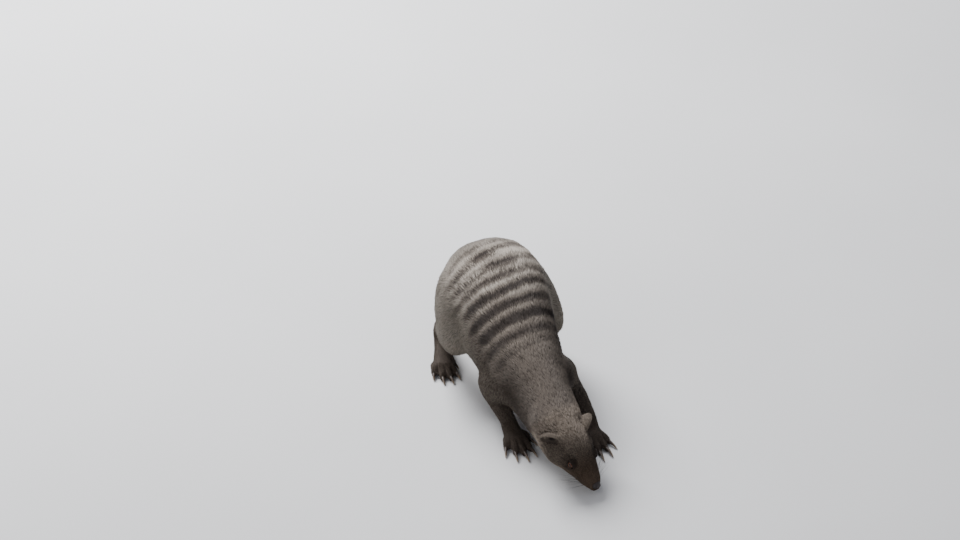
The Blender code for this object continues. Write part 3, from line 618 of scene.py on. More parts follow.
def lie_of_coat(points, parts, names):
    """Which way the hair points on each part, before it is laid on the skin."""
    _, heading, foot = along_spine(points)
    flow = heading.copy()
    trunk = lies_on(parts, *TRUNK)
    fall, width = FLANK_FALL
    flow[trunk, 2] -= fall * np.clip(np.abs(points[trunk, 0] - foot[trunk, 0]) / width, 0, 1)
    for part, follower in HAIR_POINTS_TO.items():
        for side in SIDES:
            here = names == f"{part}_{side}"
            flow[here] = (middle(follower.format(side)) - middle(f"{part}_{side}")).normalized()
    thighs = lies_on(parts, "thigh")
    flow[thighs] = unit(flow[thighs] + np.array((0, THIGH_SWEEP, 0)))
    head = lies_on(parts, *HEAD_PARTS)
    outward = np.sign(HEAD.inside(points)[head, 1:2])
    flow[head] = np.array(HEAD.along) + outward * CHEEK_SPREAD * np.array(HEAD.left)
    turned, near, far = ROUND_EYE
    for _, centre, gaze, _, radius in eye_places():
        away = points - np.array(centre) - np.array(gaze) * radius
        share = turned * (1 - eased(np.linalg.norm(away, axis=1), near, far))[:, None] * head[:, None]
        flow = unit(flow) * (1 - share) + unit(away) * share
    ears = lies_on(parts, "ear")
    flow[ears] = unit(points[ears] - np.array(HEAD.point(*EAR_ROOT))) + EAR_SWEEP * np.array(HEAD.along)
    flow[lies_on(parts, "claw")] = (0, -1, 0)
    return flow


def growth(points, parts):
    """Coat depth, tuft length and width, paleness and warmth at each vertex, as rows."""
    rows = np.array([COAT[p] for p in PARTS])[parts]
    distance, *sizes = np.array(FACE_COAT).T
    on_head = lies_on(parts, "head", "lower_jaw")
    back = HEAD.inside(points)[on_head, 0] / MM
    for column, values in enumerate(sizes):
        rows[on_head, column] = np.interp(back, distance, values)
    rows[lies_on(parts, "lower_jaw"), 1] *= JAW_LENGTH
    return rows


# Directions of the head: the way the left eye looks, and the way that its corners lie
GAZE, EYE_CORNERS = (-0.34, 0.88, 0.34), (0.93, 0, 0.3)


def eye_places():
    """Each eye: its centre, the way it looks, the way its corners lie, and its radius."""
    for side, sign in SIDES.items():
        low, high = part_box(f"eye_{side}")
        gaze = HEAD.way(GAZE[0], sign * GAZE[1], GAZE[2])
        corners = HEAD.way(*EYE_CORNERS)
        corners = (corners - gaze * corners.dot(gaze)).normalized()
        yield side, (low + high) / 2, gaze, corners, (high - low).z / 2


OPENING = (3.8 * MM, 2.4 * MM)  # half length and half height of the open eye
CORNER_STRETCH = 0.28  # how much further the corners reach than an ellipse
# Round the eye, as multiples of the opening: the lids' rims and the ranges of skin drawn to them
INNER_RIM, OUTER_RIM = 0.96, 1.02
TO_INNER, TO_OUTER = 0.8, 1.16
LID_FADE = 0.55  # how fast the lids thin out from their rims
CREASE = (1.55, 0.16, 0.35 * MM)  # where the crease round the lids lies, its width and depth
BARE_LID = (1.1, 1.36)  # where the bare skin of the lids ends
LID_REACH = 11 * MM
SUNK_SKIN = 0.9 * MM  # skin behind the open eye, below the eyeball's surface


def almond(x, y):
    """How far out a place round an eye lies: 1 on the rim of the lids, less on the open eye."""
    corner = 1 + CORNER_STRETCH * np.clip(1 - np.abs(y) / OPENING[1], 0, 1) ** 2
    return np.sqrt((x / (OPENING[0] * corner)) ** 2 + (y / OPENING[1]) ** 2) + 1e-9


def with_lids(points, settings):
    """The skin drawn over the eyeballs as lids, and sunk behind them where the eye is open."""
    bare = np.zeros(len(points))
    for _, centre, gaze, corners, radius in eye_places():
        axes = np.array((corners, gaze.cross(corners), gaze))
        away = points - np.array(centre)
        near = (np.linalg.norm(away, axis=1) < LID_REACH) & (away @ axes[2] > 0)
        x, y, out = (away[near] @ axis for axis in axes)
        ring = almond(x, y)
        drawn_out = np.where((ring > 1) & (ring < TO_OUTER), OUTER_RIM, ring)
        snapped = np.where((ring > TO_INNER) & (ring <= 1), INNER_RIM, drawn_out)
        x, y = x * snapped / ring, y * snapped / ring
        flat = np.sqrt(x**2 + y**2)
        lid = radius + settings.lid * hump(snapped, OUTER_RIM, LID_FADE)
        cover = np.sqrt(np.clip(lid**2 - flat**2, 0, None))
        out = np.where(snapped > 1, np.maximum(out, np.where(flat < radius, cover, 0)), out)
        hidden = np.sqrt(np.clip((radius - SUNK_SKIN) ** 2 - flat**2, 0, None))
        out = np.where(snapped < 1, np.minimum(out, hidden), out)
        out -= hump(snapped, *CREASE[:2]) * CREASE[2]
        points[near] = np.array(centre) + np.stack((x, y, out), 1) @ axes
        bare[near] = np.maximum(bare[near], 1 - eased(ring, *BARE_LID))
    return points, bare


EAR_AT = (6.3, 2.5, 1.25)  # behind the nose tip, out, above the axis, in centimetres
EAR_HALF = (13 * MM, 10.5 * MM, 7.5 * MM)  # half width, half height and depth of the cup
EAR_THICK = 2.8 * MM
FOLD_WIDTH = 0.09  # of the cup's half width
RIM_FOLD, CROSS_FOLD, EAR_HOLLOW = 1.3 * MM, 1.2 * MM, 1.8 * MM  # heights of the folds, depth of the hollow
# Directions of the head: the way the left ear stands, and the way it faces
EAR_STANDS, EAR_FACES = (0.38, 0.5, 0.78), (-0.62, 0.78, 0.05)
# As shares of the cup: where the two folds lie, where its lining ends, how far up the rim's fold starts, how
# far out the cross fold ends, and the hollow's place and width across and up
RIM_AT, CROSS_AT = 0.6, 0.05
LINING_ENDS, RIM_STARTS, CROSS_ENDS = (0.98, 1.12), (-0.45, 0.05), (0.3, 0.5)
HOLLOW_ACROSS, HOLLOW_UP = (0, 0.24), (-0.42, 0.2)
EAR_FOOT = (1.0 * CM, 1.8 * CM)  # distances between which the head's hair is shorter


def ear_places():
    """Each ear: the middle of its rim, and its own directions across, up and the way it faces."""
    for sign in SIDES.values():
        upright, facing = (HEAD.way(a, sign * b, c) for a, b, c in (EAR_STANDS, EAR_FACES))
        facing = (facing - upright * facing.dot(upright)).normalized()
        centre = HEAD.point(EAR_AT[0], EAR_AT[1] * sign, EAR_AT[2])
        yield np.array(centre), np.array((upright.cross(facing), upright, facing))


def with_ears(points, parts):
    """The folds and the hollow inside the ears, and how surely each point lies on the lining of one, raised
    in the hollow as painted shade and lowered on the folds as painted highlight.
    """
    inside = np.zeros(len(points))
    inner = np.array([half - EAR_THICK * 0.8 for half in EAR_HALF])
    near = lies_on(parts, "ear", "head")
    for centre, axes in ear_places():
        across, rise, out = ((points - centre) @ axes.T / inner).T
        ring = np.sqrt(across**2 + rise**2 + out**2)
        lining = (1 - eased(ring, *LINING_ENDS)) * (out * inner[2] < 1 * MM) * near
        rim = np.hypot(across, rise * 0.9 + 0.1)
        rim_fold = hump(rim, RIM_AT, FOLD_WIDTH) * eased(rise, *RIM_STARTS)
        cross = rise - 0.3 * across**2
        cross_fold = hump(cross, CROSS_AT, FOLD_WIDTH) * (1 - eased(np.abs(across), *CROSS_ENDS))
        hollow = hump(across, *HOLLOW_ACROSS) * hump(rise, *HOLLOW_UP)
        push = RIM_FOLD * rim_fold + CROSS_FOLD * cross_fold - EAR_HOLLOW * hollow
        points = points + np.outer(push * lining, axes[2])
        # painted shade and highlight: the lining's own dark skin is made barer and darker in the hollow, and
        # paler on the folds
        inside = np.maximum(inside, lining * (1 + 0.7 * hollow - 0.25 * np.maximum(rim_fold, cross_fold)))
    return points, inside


def by_ears(points):
    """How near each point lies to the foot of an ear."""
    gap = np.min([np.linalg.norm(points - centre, axis=1) for centre, _ in ear_places()], axis=0)
    return 1 - eased(gap, *EAR_FOOT)


MUZZLE = (-0.2 * CM, 5 * CM, 2.6 * CM)  # from where to where along the head, and its half width
NOSE_HALF = (4.2 * MM, 5.0 * MM, 3.8 * MM)  # along, across, up
MOUTH_DROP, MOUTH_SLOPE = 0.4 * CM, 0.085  # below the head's axis at the nose tip, and falling from there
MOUTH_END, MOUTH_FADE = 2.75 * CM, 4 * MM
MOUTH_WIDTH = 0.7 * MM
LIP_WIDTH = 1.6 * MM  # of the short-haired strip along the mouth
LIP_END = MOUTH_END + 2 * MM
NOSE_GROOVE = (0.35 * MM, 6 * MM, 0.5)  # half width, how far back it runs below the nose, and depth
# The skin sunk behind the nose leather, as multiples of its half size: where it starts to be sunk, below,
# at the sides and behind, how small it gets, and how far out it is drawn in
SEAT_BELOW, SEAT_SIDES, SEAT_BEHIND = (-1.0, -0.6), (0.9, 1.2), (0.1, 0.6)
SEAT_SIZE, SEAT_REACH = 0.9, 1.9
PADS = ((1.25 * CM, 0.55 * CM), (-0.1 * CM, 0.3 * CM), 0.5 * MM)  # place and size along and up, and height
BROW_AT = (3.25 * CM, 1.25 * CM, 1.38 * CM)
BROW = (0.42 * CM, 0.6 * MM)  # size and height
CHIN = (1.4 * CM, 0.16)  # how far back the chin is short, and how short


def with_muzzle(points, normals, settings):
    """The line of the mouth, the pads that carry the whiskers, the brows and the bridge of the nose."""
    back, side, rise = HEAD.inside(points).T
    below = rise + MOUTH_DROP + MOUTH_SLOPE * back
    start, end, half_width = MUZZLE
    on_muzzle = (back > start) & (back < end) & (np.abs(side) < half_width)
    line = hump(below, 0, MOUTH_WIDTH) * (1 - eased(back, MOUTH_END - MOUTH_FADE, MOUTH_END))
    half_width, length, depth = NOSE_GROOVE
    furrow = hump(side, 0, half_width) * (back < length) * (rise < 0) * (below > 0) * depth
    pads = hump(back, *PADS[0]) * hump(rise, *PADS[1])
    brows = hump(np.linalg.norm(HEAD.one_side(points) - BROW_AT, axis=1), 0, BROW[0])
    push = PADS[2] * pads + BROW[1] * brows - settings.lips * np.maximum(line, furrow)
    points = points + normals * (push * on_muzzle)[:, None]
    nose_at = HEAD.inside(middle("nose"))
    round_nose = (HEAD.inside(points) - nose_at) / NOSE_HALF
    front, across, above = round_nose.T
    size = np.linalg.norm(round_nose, axis=1)
    share = eased(above, *SEAT_BELOW) * (1 - eased(np.abs(across), *SEAT_SIDES))
    share = share * (1 - eased(front, *SEAT_BEHIND)) * (size < SEAT_REACH)
    sunk = HEAD.outside(nose_at + round_nose * (SEAT_SIZE / size)[:, None] * NOSE_HALF)
    points += (sunk - points) * (share * (size > SEAT_SIZE))[:, None]
    chin = (below < 0) & (back < CHIN[0]) & on_muzzle
    points[chin] += np.outer((CHIN[0] - back[chin]) * CHIN[1], HEAD.along)
    lips = hump(below, 0, LIP_WIDTH) * (1 - eased(back, MOUTH_END - MOUTH_FADE, LIP_END))
    return points, np.maximum(line, furrow) * on_muzzle, np.maximum(lips * on_muzzle, share)


CLAW_SHARES = ((0, 0.25), (0.4, 0.75), (0.97, 1.0))  # shares of a claw's length that are root, top and tip


def claw_line(node):
    """The root, the top of the arch and the tip of a claw's solid."""
    solid = read(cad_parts[node].data.vertices, "co", 3)
    middle_point = solid.mean(0)
    run = (solid - middle_point) @ np.linalg.svd(solid - middle_point, full_matrices=False)[2][0]
    if solid[run.argmax(), 2] > solid[run.argmin(), 2]:
        run = -run
    run = (run - run.min()) / np.ptp(run)
    return (solid[(run >= a) & (run <= b)].mean(0) for a, b in CLAW_SHARES)


def claws_on(foot, side):
    """The names of a foot's claws, from the inner toe to the outer."""
    names = [f"claw_{foot}_{side}_{toe}" for toe in ("inner", "second", "middle", "fourth", "outer")]
    if any(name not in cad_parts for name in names):
        raise RuntimeError(f"the {side} {foot} foot lacks a claw")
    return names


TOE_GROOVE = (1.2 * MM, 0.9 * MM, 13 * MM)  # depth, half width and length of the groove between two toes
GROOVE_START, GROOVE_FADE = -6 * MM, 0.8  # where it starts, and how much of its depth is gone at its end
TOP_OF_FOOT = (-0.3, 0.4)  # how far up the skin faces where the grooves fade in
TOE_TOP = 1.6 * CM  # height over the floor above which there are none


def with_toes(points, normals):
    """The grooves between the toes, and how surely each point lies in one, which is used to paint shade into
    them.
    """
    depth, half_width, length = TOE_GROOVE
    groove = np.zeros(len(points))
    for foot in ("fore", "hind"):
        for side in SIDES:
            lines = [tuple(claw_line(n)) for n in claws_on(foot, side)]
            for (root_a, _, tip_a), (root_b, _, tip_b) in zip(lines, lines[1:]):
                start = (root_a + root_b) / 2
                way = root_a - tip_a + root_b - tip_b
                way = unit(way * (1, 1, 0))
                away = (points - start) * (1, 1, 0)
                run = np.clip(away @ way, GROOVE_START, length)
                gap = np.linalg.norm(away - np.outer(run, way), axis=1)
                here = hump(gap, 0, half_width) * (1 - run / length * GROOVE_FADE) * (points[:, 2] < TOE_TOP)
                groove = np.maximum(groove, here * eased(normals[:, 2], *TOP_OF_FOOT))
    return points - normals * (depth * groove)[:, None], groove


CLAW_STUMP = 0.2  # length to which the skin over a claw shrinks, so that it hides inside the claw's root
SOLE_HEIGHT = 6 * MM
SOLE_FACES = (0.5, 0.9)  # how far down the skin of a sole faces
FLOOR_GAP = 0.1 * MM
# Rounds of evening out: of the coat's growth, round the claws, of the skin, its normals and the hair's lie
GROWTH_ROUNDS, CLAW_ROUNDS, SKIN_ROUNDS, NORMAL_ROUNDS, FLOW_ROUNDS = 10, 2, 14, 3, 5
# Under a thin coat the skin is evened out less: from which depth, over what range (millimetres), and the
# least and the most of it
THIN_COAT, COAT_RANGE, EVENED = 0.8, 2.5, (0.12, 0.6)
# the darkening between the toes is painted shade in the grooves
LIPS_DARKER, SHADE_IN_TOE_GROOVES = 0.25, 0.1  # along the lips and between the toes
LIPS_SHORTER, EARS_SHORTER = 0.55, 0.5  # share of the hair's length that is lost on lips and by the ears
BARE_LIPS, BARE_TOES, BARE_EARS = 0.62, 1.5, 0.6  # how bare lips, toes' ends and the ears' insides are


def laid(flow, normals):
    """Directions turned to lie along the surface."""
    return unit(flow - normals * (flow * normals).sum(1)[:, None])


class MONGOOSE_OT_skin(bpy.types.Operator):
    """Draws one skin from the solids, inside them by the coat's depth, with lids, mouth and brows"""

    bl_idname = "mongoose.skin"
    bl_label = "Skin"

    def execute(self, context):
        settings = context.scene.mongoose_skin
        skin, solids = fused_skin(settings)
        mesh = skin.data
        edges = read(mesh.edges, "vertices", 2, np.int32)
        points = read(mesh.vertices, "co", 3)
        faces = solids.faces_at(points)
        parts = np.array(solids.part)[faces]
        names = np.array(solids.names)[faces]
        claws = lies_on(parts, "claw")
        for name in np.unique(names[claws]):
            root, own = next(claw_line(name)), names == name
            points[own] = root + (points[own] - root) * CLAW_STUMP
        depth, length, width, pale, warm = spread(edges, growth(points, parts), GROWTH_ROUNDS).T
        by_claws = spread(edges, claws.astype(float), CLAW_ROUNDS)
        share = np.clip((depth - THIN_COAT) / COAT_RANGE, *EVENED)
        points = spread(edges, points, SKIN_ROUNDS, share)
        place_points(mesh, points)
        normals = unit(spread(edges, read(mesh.vertex_normals, "vector", 3), NORMAL_ROUNDS))
        soles = eased(-normals[:, 2], *SOLE_FACES) * (points[:, 2] < SOLE_HEIGHT)
        sunk = depth * MM * (1 - soles) + FLOOR_GAP * soles
        points = points - normals * sunk[:, None]
        points, lids = with_lids(points, settings)
        place_points(mesh, points)
        normals = read(mesh.vertex_normals, "vector", 3)
        points, mouth, lips = with_muzzle(points, normals, settings)
        points, ear_lining_and_shade = with_ears(points, parts)
        points, between_toes = with_toes(points, normals)
        points[:, 2] = np.maximum(points[:, 2], FLOOR_GAP)
        place_points(mesh, points)
        normals = read(mesh.vertex_normals, "vector", 3)
        flow = unit(lie_of_coat(points, parts, names))
        for _ in range(FLOW_ROUNDS):
            flow = spread(edges, laid(flow, normals), FLOW_ROUNDS)
        pale, warm = shades(points, normals, parts, pale, warm)
        # painted shade in the grooves between the toes
        pale -= LIPS_DARKER * lips + SHADE_IN_TOE_GROOVES * between_toes
        length *= 1 - LIPS_SHORTER * lips
        length *= 1 - EARS_SHORTER * by_ears(points) * lies_on(parts, "head")
        bare = [lids, mouth, lips * BARE_LIPS, by_claws * BARE_TOES, ear_lining_and_shade * BARE_EARS]
        bare = np.maximum.reduce(bare).clip(0, 1)
        keep(mesh, "flow", laid(flow, normals))
        keep(mesh, "depth", depth * MM)
        keep(mesh, "length", length * MM)
        keep(mesh, "width", width * MM)
        keep(mesh, "part", parts.astype(float))
        keep(mesh, "plain", pale)
        keep(mesh, "warm", warm)
        keep(mesh, "bare", bare)
        keep(mesh, "pale", banded(points, pale))
        dressed(skin, coat_finish("skin_under_coat", context.scene.mongoose_colours, on_skin=True))
        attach(skin, "root")
        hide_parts(*[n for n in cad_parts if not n.startswith(HARD_PARTS)])
        return {"FINISHED"}


TAIL = ("tail_root", "tail_middle", "tail_tip")
DARK_TAIL = (11 * CM, 4 * CM, 0.1)  # before its end: where it starts and is whole, and its paleness
EYE_RING = (5.5 * MM, 9.5 * MM, 0.15)  # inner and outer edge of the dark ring, and how much darker it is
# Shades of the body: from where to where each fades in (how far down the skin faces under the belly and the
# haunches, and the head's own distances), then how much paler and how much warmer the hair is there. Under
# the haunches the darkening is painted shade.
UNDER_BELLY = (0.2, 0.8, 0.08, 0.35)
# painted shade: the underside of the rump and the thighs is darkened where shadow falls
SHADE_UNDER_HAUNCHES = (0.1, 0.7, -0.2, 0)
END_OF_MUZZLE = (-4.2 * CM, -1.6 * CM, -0.1, 0.35)
THROAT = (0.5 * CM, 1.6 * CM, 0.14, 0)


def shades(points, normals, parts, pale, warm):
    """How pale and how warm the plain coat is over the body: belly, throat, face, feet and tail, with painted
    shade under the haunches.
    """
    back, _, rise = HEAD.inside(points).T
    head = lies_on(parts, *HEAD_PARTS)
    down = -normals[:, 2]
    for there, measure, (low, high, paler, warmer) in (
        (lies_on(parts, "neck", "chest", "abdomen"), down, UNDER_BELLY),
        # painted shade under the rump and the thighs
        (lies_on(parts, "rump", "thigh"), down, SHADE_UNDER_HAUNCHES),
        (head, -back, END_OF_MUZZLE),
        (head, -rise, THROAT),
    ):
        share = there * eased(measure, low, high)
        pale, warm = pale + paler * share, warm + warmer * share
    inner, outer, darker = EYE_RING
    for _, centre, gaze, _, radius in eye_places():
        ring = np.linalg.norm(points - np.array(centre) - np.array(gaze) * radius * 0.5, axis=1)
        pale = pale - darker * (1 - eased(ring, inner, outer)) * head
    whole = np.linalg.norm(np.diff(SPINE, axis=0), axis=1).sum()
    start, full, dark = DARK_TAIL
    end = eased(along_spine(points)[0], whole - start, whole - full) * lies_on(parts, *TAIL)
    pale = pale * (1 - end) + dark * end
    return np.clip(pale, 0, 1), np.clip(warm, 0, 1)


# ---------------------------------------------------------------- the coat


HAIRLESS = 0.45  # bareness above which nothing grows
CROWDING = 1.2  # how much more thickly narrow tufts stand


class SkinReader:
    """The finished skin, to take roots from and to lay tips on."""

    def __init__(self):
        mesh = bpy.data.objects["skin"].data
        self.points = read(mesh.vertices, "co", 3)
        self.normals = read(mesh.vertex_normals, "vector", 3)
        self.corners = triangles(mesh)
        a, b, c = (self.points[self.corners[:, i]] for i in range(3))
        self.area = np.linalg.norm(np.cross(b - a, c - a), axis=1) / 2
        fields = ("flow", "depth", "length", "width", "plain", "warm", "bare", "part")
        self.fields = {name: kept(mesh, name) for name in fields}
        self.tree = tree_of(self.points, self.corners)

    def region(self, parts):
        """The triangles whose first corner lies on one of these parts."""
        return lies_on(self.fields["part"][self.corners[:, 0]].astype(int), *parts)

    def roots(self, region, count, chance):
        """Evenly spread roots over a region: triangle and shares of its corners."""
        width = self.fields["width"][self.corners].mean(1)
        haired = self.fields["bare"][self.corners].mean(1) < HAIRLESS
        crowd = self.area * region * haired / width**CROWDING
        run = np.cumsum(crowd)
        spots = (np.arange(count) + chance.random(count)) / count * run[-1]
        triangle = np.minimum(np.searchsorted(run, spots), len(run) - 1)
        r = np.sqrt(chance.random(count))
        s = chance.random(count)
        return triangle, np.stack((1 - r, r * (1 - s), r * s), 1)

    def blend(self, values, triangle, shares):
        """A field of the vertices at places on the triangles."""
        corners = values[self.corners[triangle]]
        shares = shares if corners.ndim == 2 else shares[:, :, None]
        return (corners * shares).sum(1)

    def under(self, points):
        """The skin's nearest place and its normal there."""
        near = [self.tree.find_nearest(p) for p in points]
        place = np.array([n[0] for n in near])
        normal = self.normals[self.corners[[n[2] for n in near]]].mean(1)
        return place, unit(normal)


UNWRAP_FACES = 5000
UNWRAP_ANGLE, UNWRAP_MARGIN = math.radians(66), 0.004


def unwrapped(reader, region, points):
    """Where points of the skin lie on an unwrap of that region's own shape."""
    mesh = bmesh.new()
    used = np.unique(reader.corners[region])
    made = {int(i): mesh.verts.new(reader.points[i]) for i in used}
    for corners in reader.corners[region]:
        mesh.faces.new([made[int(i)] for i in corners])
    piece = new_piece("unwrap", mesh)
    reduce = piece.modifiers.new("Reduce", "DECIMATE")
    reduce.ratio = min(1, UNWRAP_FACES / max(1, int(region.sum())))
    apply_modifiers(piece)
    context = bpy.context
    for other in context.selected_objects:
        other.select_set(False)
    context.view_layer.objects.active = piece
    piece.select_set(True)
    bpy.ops.object.mode_set(mode="EDIT")
    bpy.ops.mesh.select_all(action="SELECT")
    bpy.ops.uv.smart_project(angle_limit=UNWRAP_ANGLE, island_margin=UNWRAP_MARGIN)
    bpy.ops.object.mode_set(mode="OBJECT")
    data = piece.data
    corners = triangles(data)
    loops = read(data.loop_triangles, "loops", 3, np.int32)
    flat = read(data.uv_layers.active.data, "uv", 2)
    places = read(data.vertices, "co", 3)
    tree = tree_of(places, corners)
    near = [tree.find_nearest(p) for p in points]
    face = np.array([n[2] for n in near])
    spot = np.array([n[0] for n in near])
    a, b, c = (places[corners[face, i]] for i in range(3))
    whole = np.cross(b - a, c - a)
    size = np.maximum((whole**2).sum(1), 1e-20)
    v = (np.cross(spot - a, c - a) * whole).sum(1) / size
    w = (np.cross(b - a, spot - a) * whole).sum(1) / size
    shares = np.stack((1 - v - w, v, w), 1).clip(0, 1)
    bpy.data.objects.remove(piece)
    bpy.data.meshes.remove(data)
    return (flat[loops[face]] * shares[:, :, None]).sum(1)


# By the number of rings: where they lie along a tuft, and how wide they are as shares of its width
RING_AT = {2: (0.0, 0.45), 3: (0.0, 0.34, 0.7)}
RING_WIDTH = {2: (0.75, 0.95), 3: (0.7, 1.0, 0.72)}
TUFT_FLATNESS = 0.55  # height of a tuft's section as a share of its width


def tuft_mesh(name, rings, count, lines, across, upward, width):
    """Closed, flattened spikes of three sides that run along the given lines and end in a point."""
    steps = rings + 1
    points = np.empty((count, rings * 3 + 1, 3))
    for i in range(rings):
        size = width * RING_WIDTH[rings][i] / 2
        for corner, angle in enumerate(np.radians((90, 210, 330))):
            offset = across * (math.cos(angle) * size)[:, None]
            offset = offset + upward * (math.sin(angle) * size * TUFT_FLATNESS)[:, None]
            points[:, i * 3 + corner] = lines[:, i] + offset
    points[:, -1] = lines[:, steps - 1]
    quads, corners = [], []
    for i in range(rings - 1):
        for a in range(3):
            b = (a + 1) % 3
            quads.append((i * 3 + a, i * 3 + b, i * 3 + 3 + b, i * 3 + 3 + a))
    last = (rings - 1) * 3
    corners += [(last + a, last + (a + 1) % 3, last + 3) for a in range(3)]
    corners.append((2, 1, 0))
    size = rings * 3 + 1
    loops = np.concatenate((np.ravel(quads), np.ravel(corners))).astype(int)
    loops = loops + (np.arange(count) * size)[:, None]
    sides = np.array([4] * len(quads) + [3] * len(corners))
    starts = np.concatenate(([0], np.cumsum(np.tile(sides, count))[:-1]))
    mesh = bpy.data.meshes.new(name)
    mesh.vertices.add(count * size)
    mesh.vertices.foreach_set("co", points.astype(np.float32).ravel())
    mesh.loops.add(loops.size)
    mesh.loops.foreach_set("vertex_index", loops.astype(np.int32).ravel())
    mesh.polygons.add(len(starts))
    mesh.polygons.foreach_set("loop_start", starts.astype(np.int32))
    mesh.update(calc_edges=True)
    return mesh, points.reshape(-1, 3)


FEWEST_TUFTS = 50
SHORT_BELOW = 0.35  # how much shorter the coat is on the underside
# Size, seed and depth of the ripples that turn tufts from the lie of the coat and that lift them, and how
# much each tuft turns by chance
TURN_WAVES, LIFT_WAVES = ((22 * MM, 11, 0.8), (6 * MM, 12, 0.5)), (16 * MM, 13, 0.12)
TURN_CHANCE = 0.5
# Ranges of chance: of a tuft's length and lift, times the raggedness, and of its width
LENGTH_RANGE, LIFT_RANGE, WIDTH_RANGE = (-1, 0.7), (-1.4, 0.75), (0.7, 1.2)
LIFT = 0.86  # height of a tuft's tip, as a share of the coat's depth
LANDING = 0.95  # how far along its length a tuft's tip comes down
BEND = (0.5, 0.75)  # how far along and how high the tuft bends, as shares of its length and of its lift
ROOT_DEPTH = 0.35 * MM
LINE_HEIGHT = 0.5 * MM  # least height of a tuft's middle over the floor
TUFT_HEIGHT = 0.15 * MM  # least height of a tuft's own points
BAND_JITTER = 0.65 * MM  # how far single tufts carry the shade of a band past its edge


class MONGOOSE_OT_coat(bpy.types.Operator):
    """Grows one stretch of the coat as solid tufts that lie along the body"""

    bl_idname = "mongoose.coat"
    bl_label = "Coat"

    stretch: EnumProperty(
        name="Stretch",
        description="The part of the body that this piece covers",
        items=[(n, n.replace("_", " ").title(), "Coat of this stretch") for n in COAT_PIECES],
    )

    def execute(self, context):
        settings = context.scene.mongoose_coat
        parts, count, rings = COAT_PIECES[self.stretch]
        count = max(FEWEST_TUFTS, int(count * settings.fullness * (1)))
        chance = np.random.default_rng(settings.seed * 100 + list(COAT_PIECES).index(self.stretch))
        reader = SkinReader()
        region = reader.region(parts)
        if not region.any():
            raise RuntimeError(f"the skin has no {self.stretch}")
        triangle, shares = reader.roots(region, count, chance)

        def here(field):
            return reader.blend(reader.fields[field], triangle, shares)

        root = reader.blend(reader.points, triangle, shares)
        normal = unit(reader.blend(reader.normals, triangle, shares))
        flow = laid(here("flow"), normal)
        across = np.cross(normal, flow)
        turn = sum(ripple(root, size, seed) * depth for size, seed, depth in TURN_WAVES)
        turn = (settings.parting * (turn + chance.normal(size=count) * TURN_CHANCE))[:, None]
        flow, across = (
            flow * np.cos(turn) + across * np.sin(turn),
            across * np.cos(turn) - flow * np.sin(turn),
        )
        length = here("length") * (1 + settings.raggedness * chance.uniform(*LENGTH_RANGE, count))
        length *= 1 - SHORT_BELOW * eased(-normal[:, 2], 0.2, 0.8)
        lift = here("depth") * (LIFT + settings.raggedness * chance.uniform(*LIFT_RANGE, count))
        size, seed, depth = LIFT_WAVES
        lift *= 1 + depth * ripple(root, size, seed)
        width = here("width") * chance.uniform(*WIDTH_RANGE, count)
        base = root - normal * ROOT_DEPTH
        landing, upward = reader.under(root + flow * (length * LANDING)[:, None])
        tip = landing + upward * lift[:, None]
        bend = root + flow * (length * BEND[0])[:, None] + normal * (lift * BEND[1])[:, None]
        lines = np.empty((count, rings + 1, 3))
        for i, t in enumerate((*RING_AT[rings], 1.0)):
            lines[:, i] = base * (1 - t) ** 2 + bend * 2 * t * (1 - t) + tip * t**2
        lines[:, :, 2] = np.maximum(lines[:, :, 2], LINE_HEIGHT)
        name = f"coat_{self.stretch}"
        mesh, points = tuft_mesh(name, rings, count, lines, across, unit(normal + upward), width)
        points[:, 2] = np.maximum(points[:, 2], TUFT_HEIGHT)
        place_points(mesh, points)
        size = rings * 3 + 1
        levels = np.append(np.repeat(RING_AT[rings], 3), 1.0)
        jitter = chance.normal(size=count) * BAND_JITTER
        tone, warm, plain, jitter = (
            np.repeat(values, size) for values in (chance.random(count), here("warm"), here("plain"), jitter)
        )
        keep(mesh, "along", np.tile(levels, count))
        keep(mesh, "tone", tone)
        keep(mesh, "warm", warm)
        keep(mesh, "pale", banded(points, plain, jitter))
        spots = unwrapped(reader, region, root)
        half = settings.patch / 2
        local = np.empty((size, 2))
        local[:, 0] = np.append(np.tile((0, -half, half), rings), 0)
        local[:, 1] = (levels - 0.5) * settings.patch
        where = (spots[:, None, :] + local[None]).reshape(-1, 2).clip(0, 1)
        layer = mesh.uv_layers.new(name="OFBake")
        where = where[read(mesh.loops, "vertex_index", 1, np.int32)]
        layer.data.foreach_set("uv", where.astype(np.float32).ravel())
        piece = dressed(new_piece(name, mesh), shared_coat_finish(context.scene.mongoose_colours))
        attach(piece, "root")
        return {"FINISHED"}


# ---------------------------------------------------------------- finishes


class Wire:
    """A number that changes over a surface; sums on it add Math nodes."""

    def __init__(self, finish, socket):
        self.finish, self.socket = finish, socket

    def __add__(self, other):
        return self.finish.math("ADD", self, other)

    __radd__ = __add__

    def __mul__(self, other):
        return self.finish.math("MULTIPLY", self, other)

    __rmul__ = __mul__

    def __sub__(self, other):
        return self.finish.math("SUBTRACT", self, other)

    def __rsub__(self, other):
        return self.finish.math("SUBTRACT", other, self)

    def __pow__(self, other):
        return self.finish.math("POWER", self, other)

    def sine(self):
        return self.finish.math("SINE", self)

    def step(self, low, high):
        """0 below low, 1 above high, soft between."""
        settings = {"interpolation_type": "SMOOTHSTEP"}
        return self.finish.node("ShaderNodeMapRange", settings, {0: self, 1: low, 2: high, 3: 0.0, 4: 1.0})


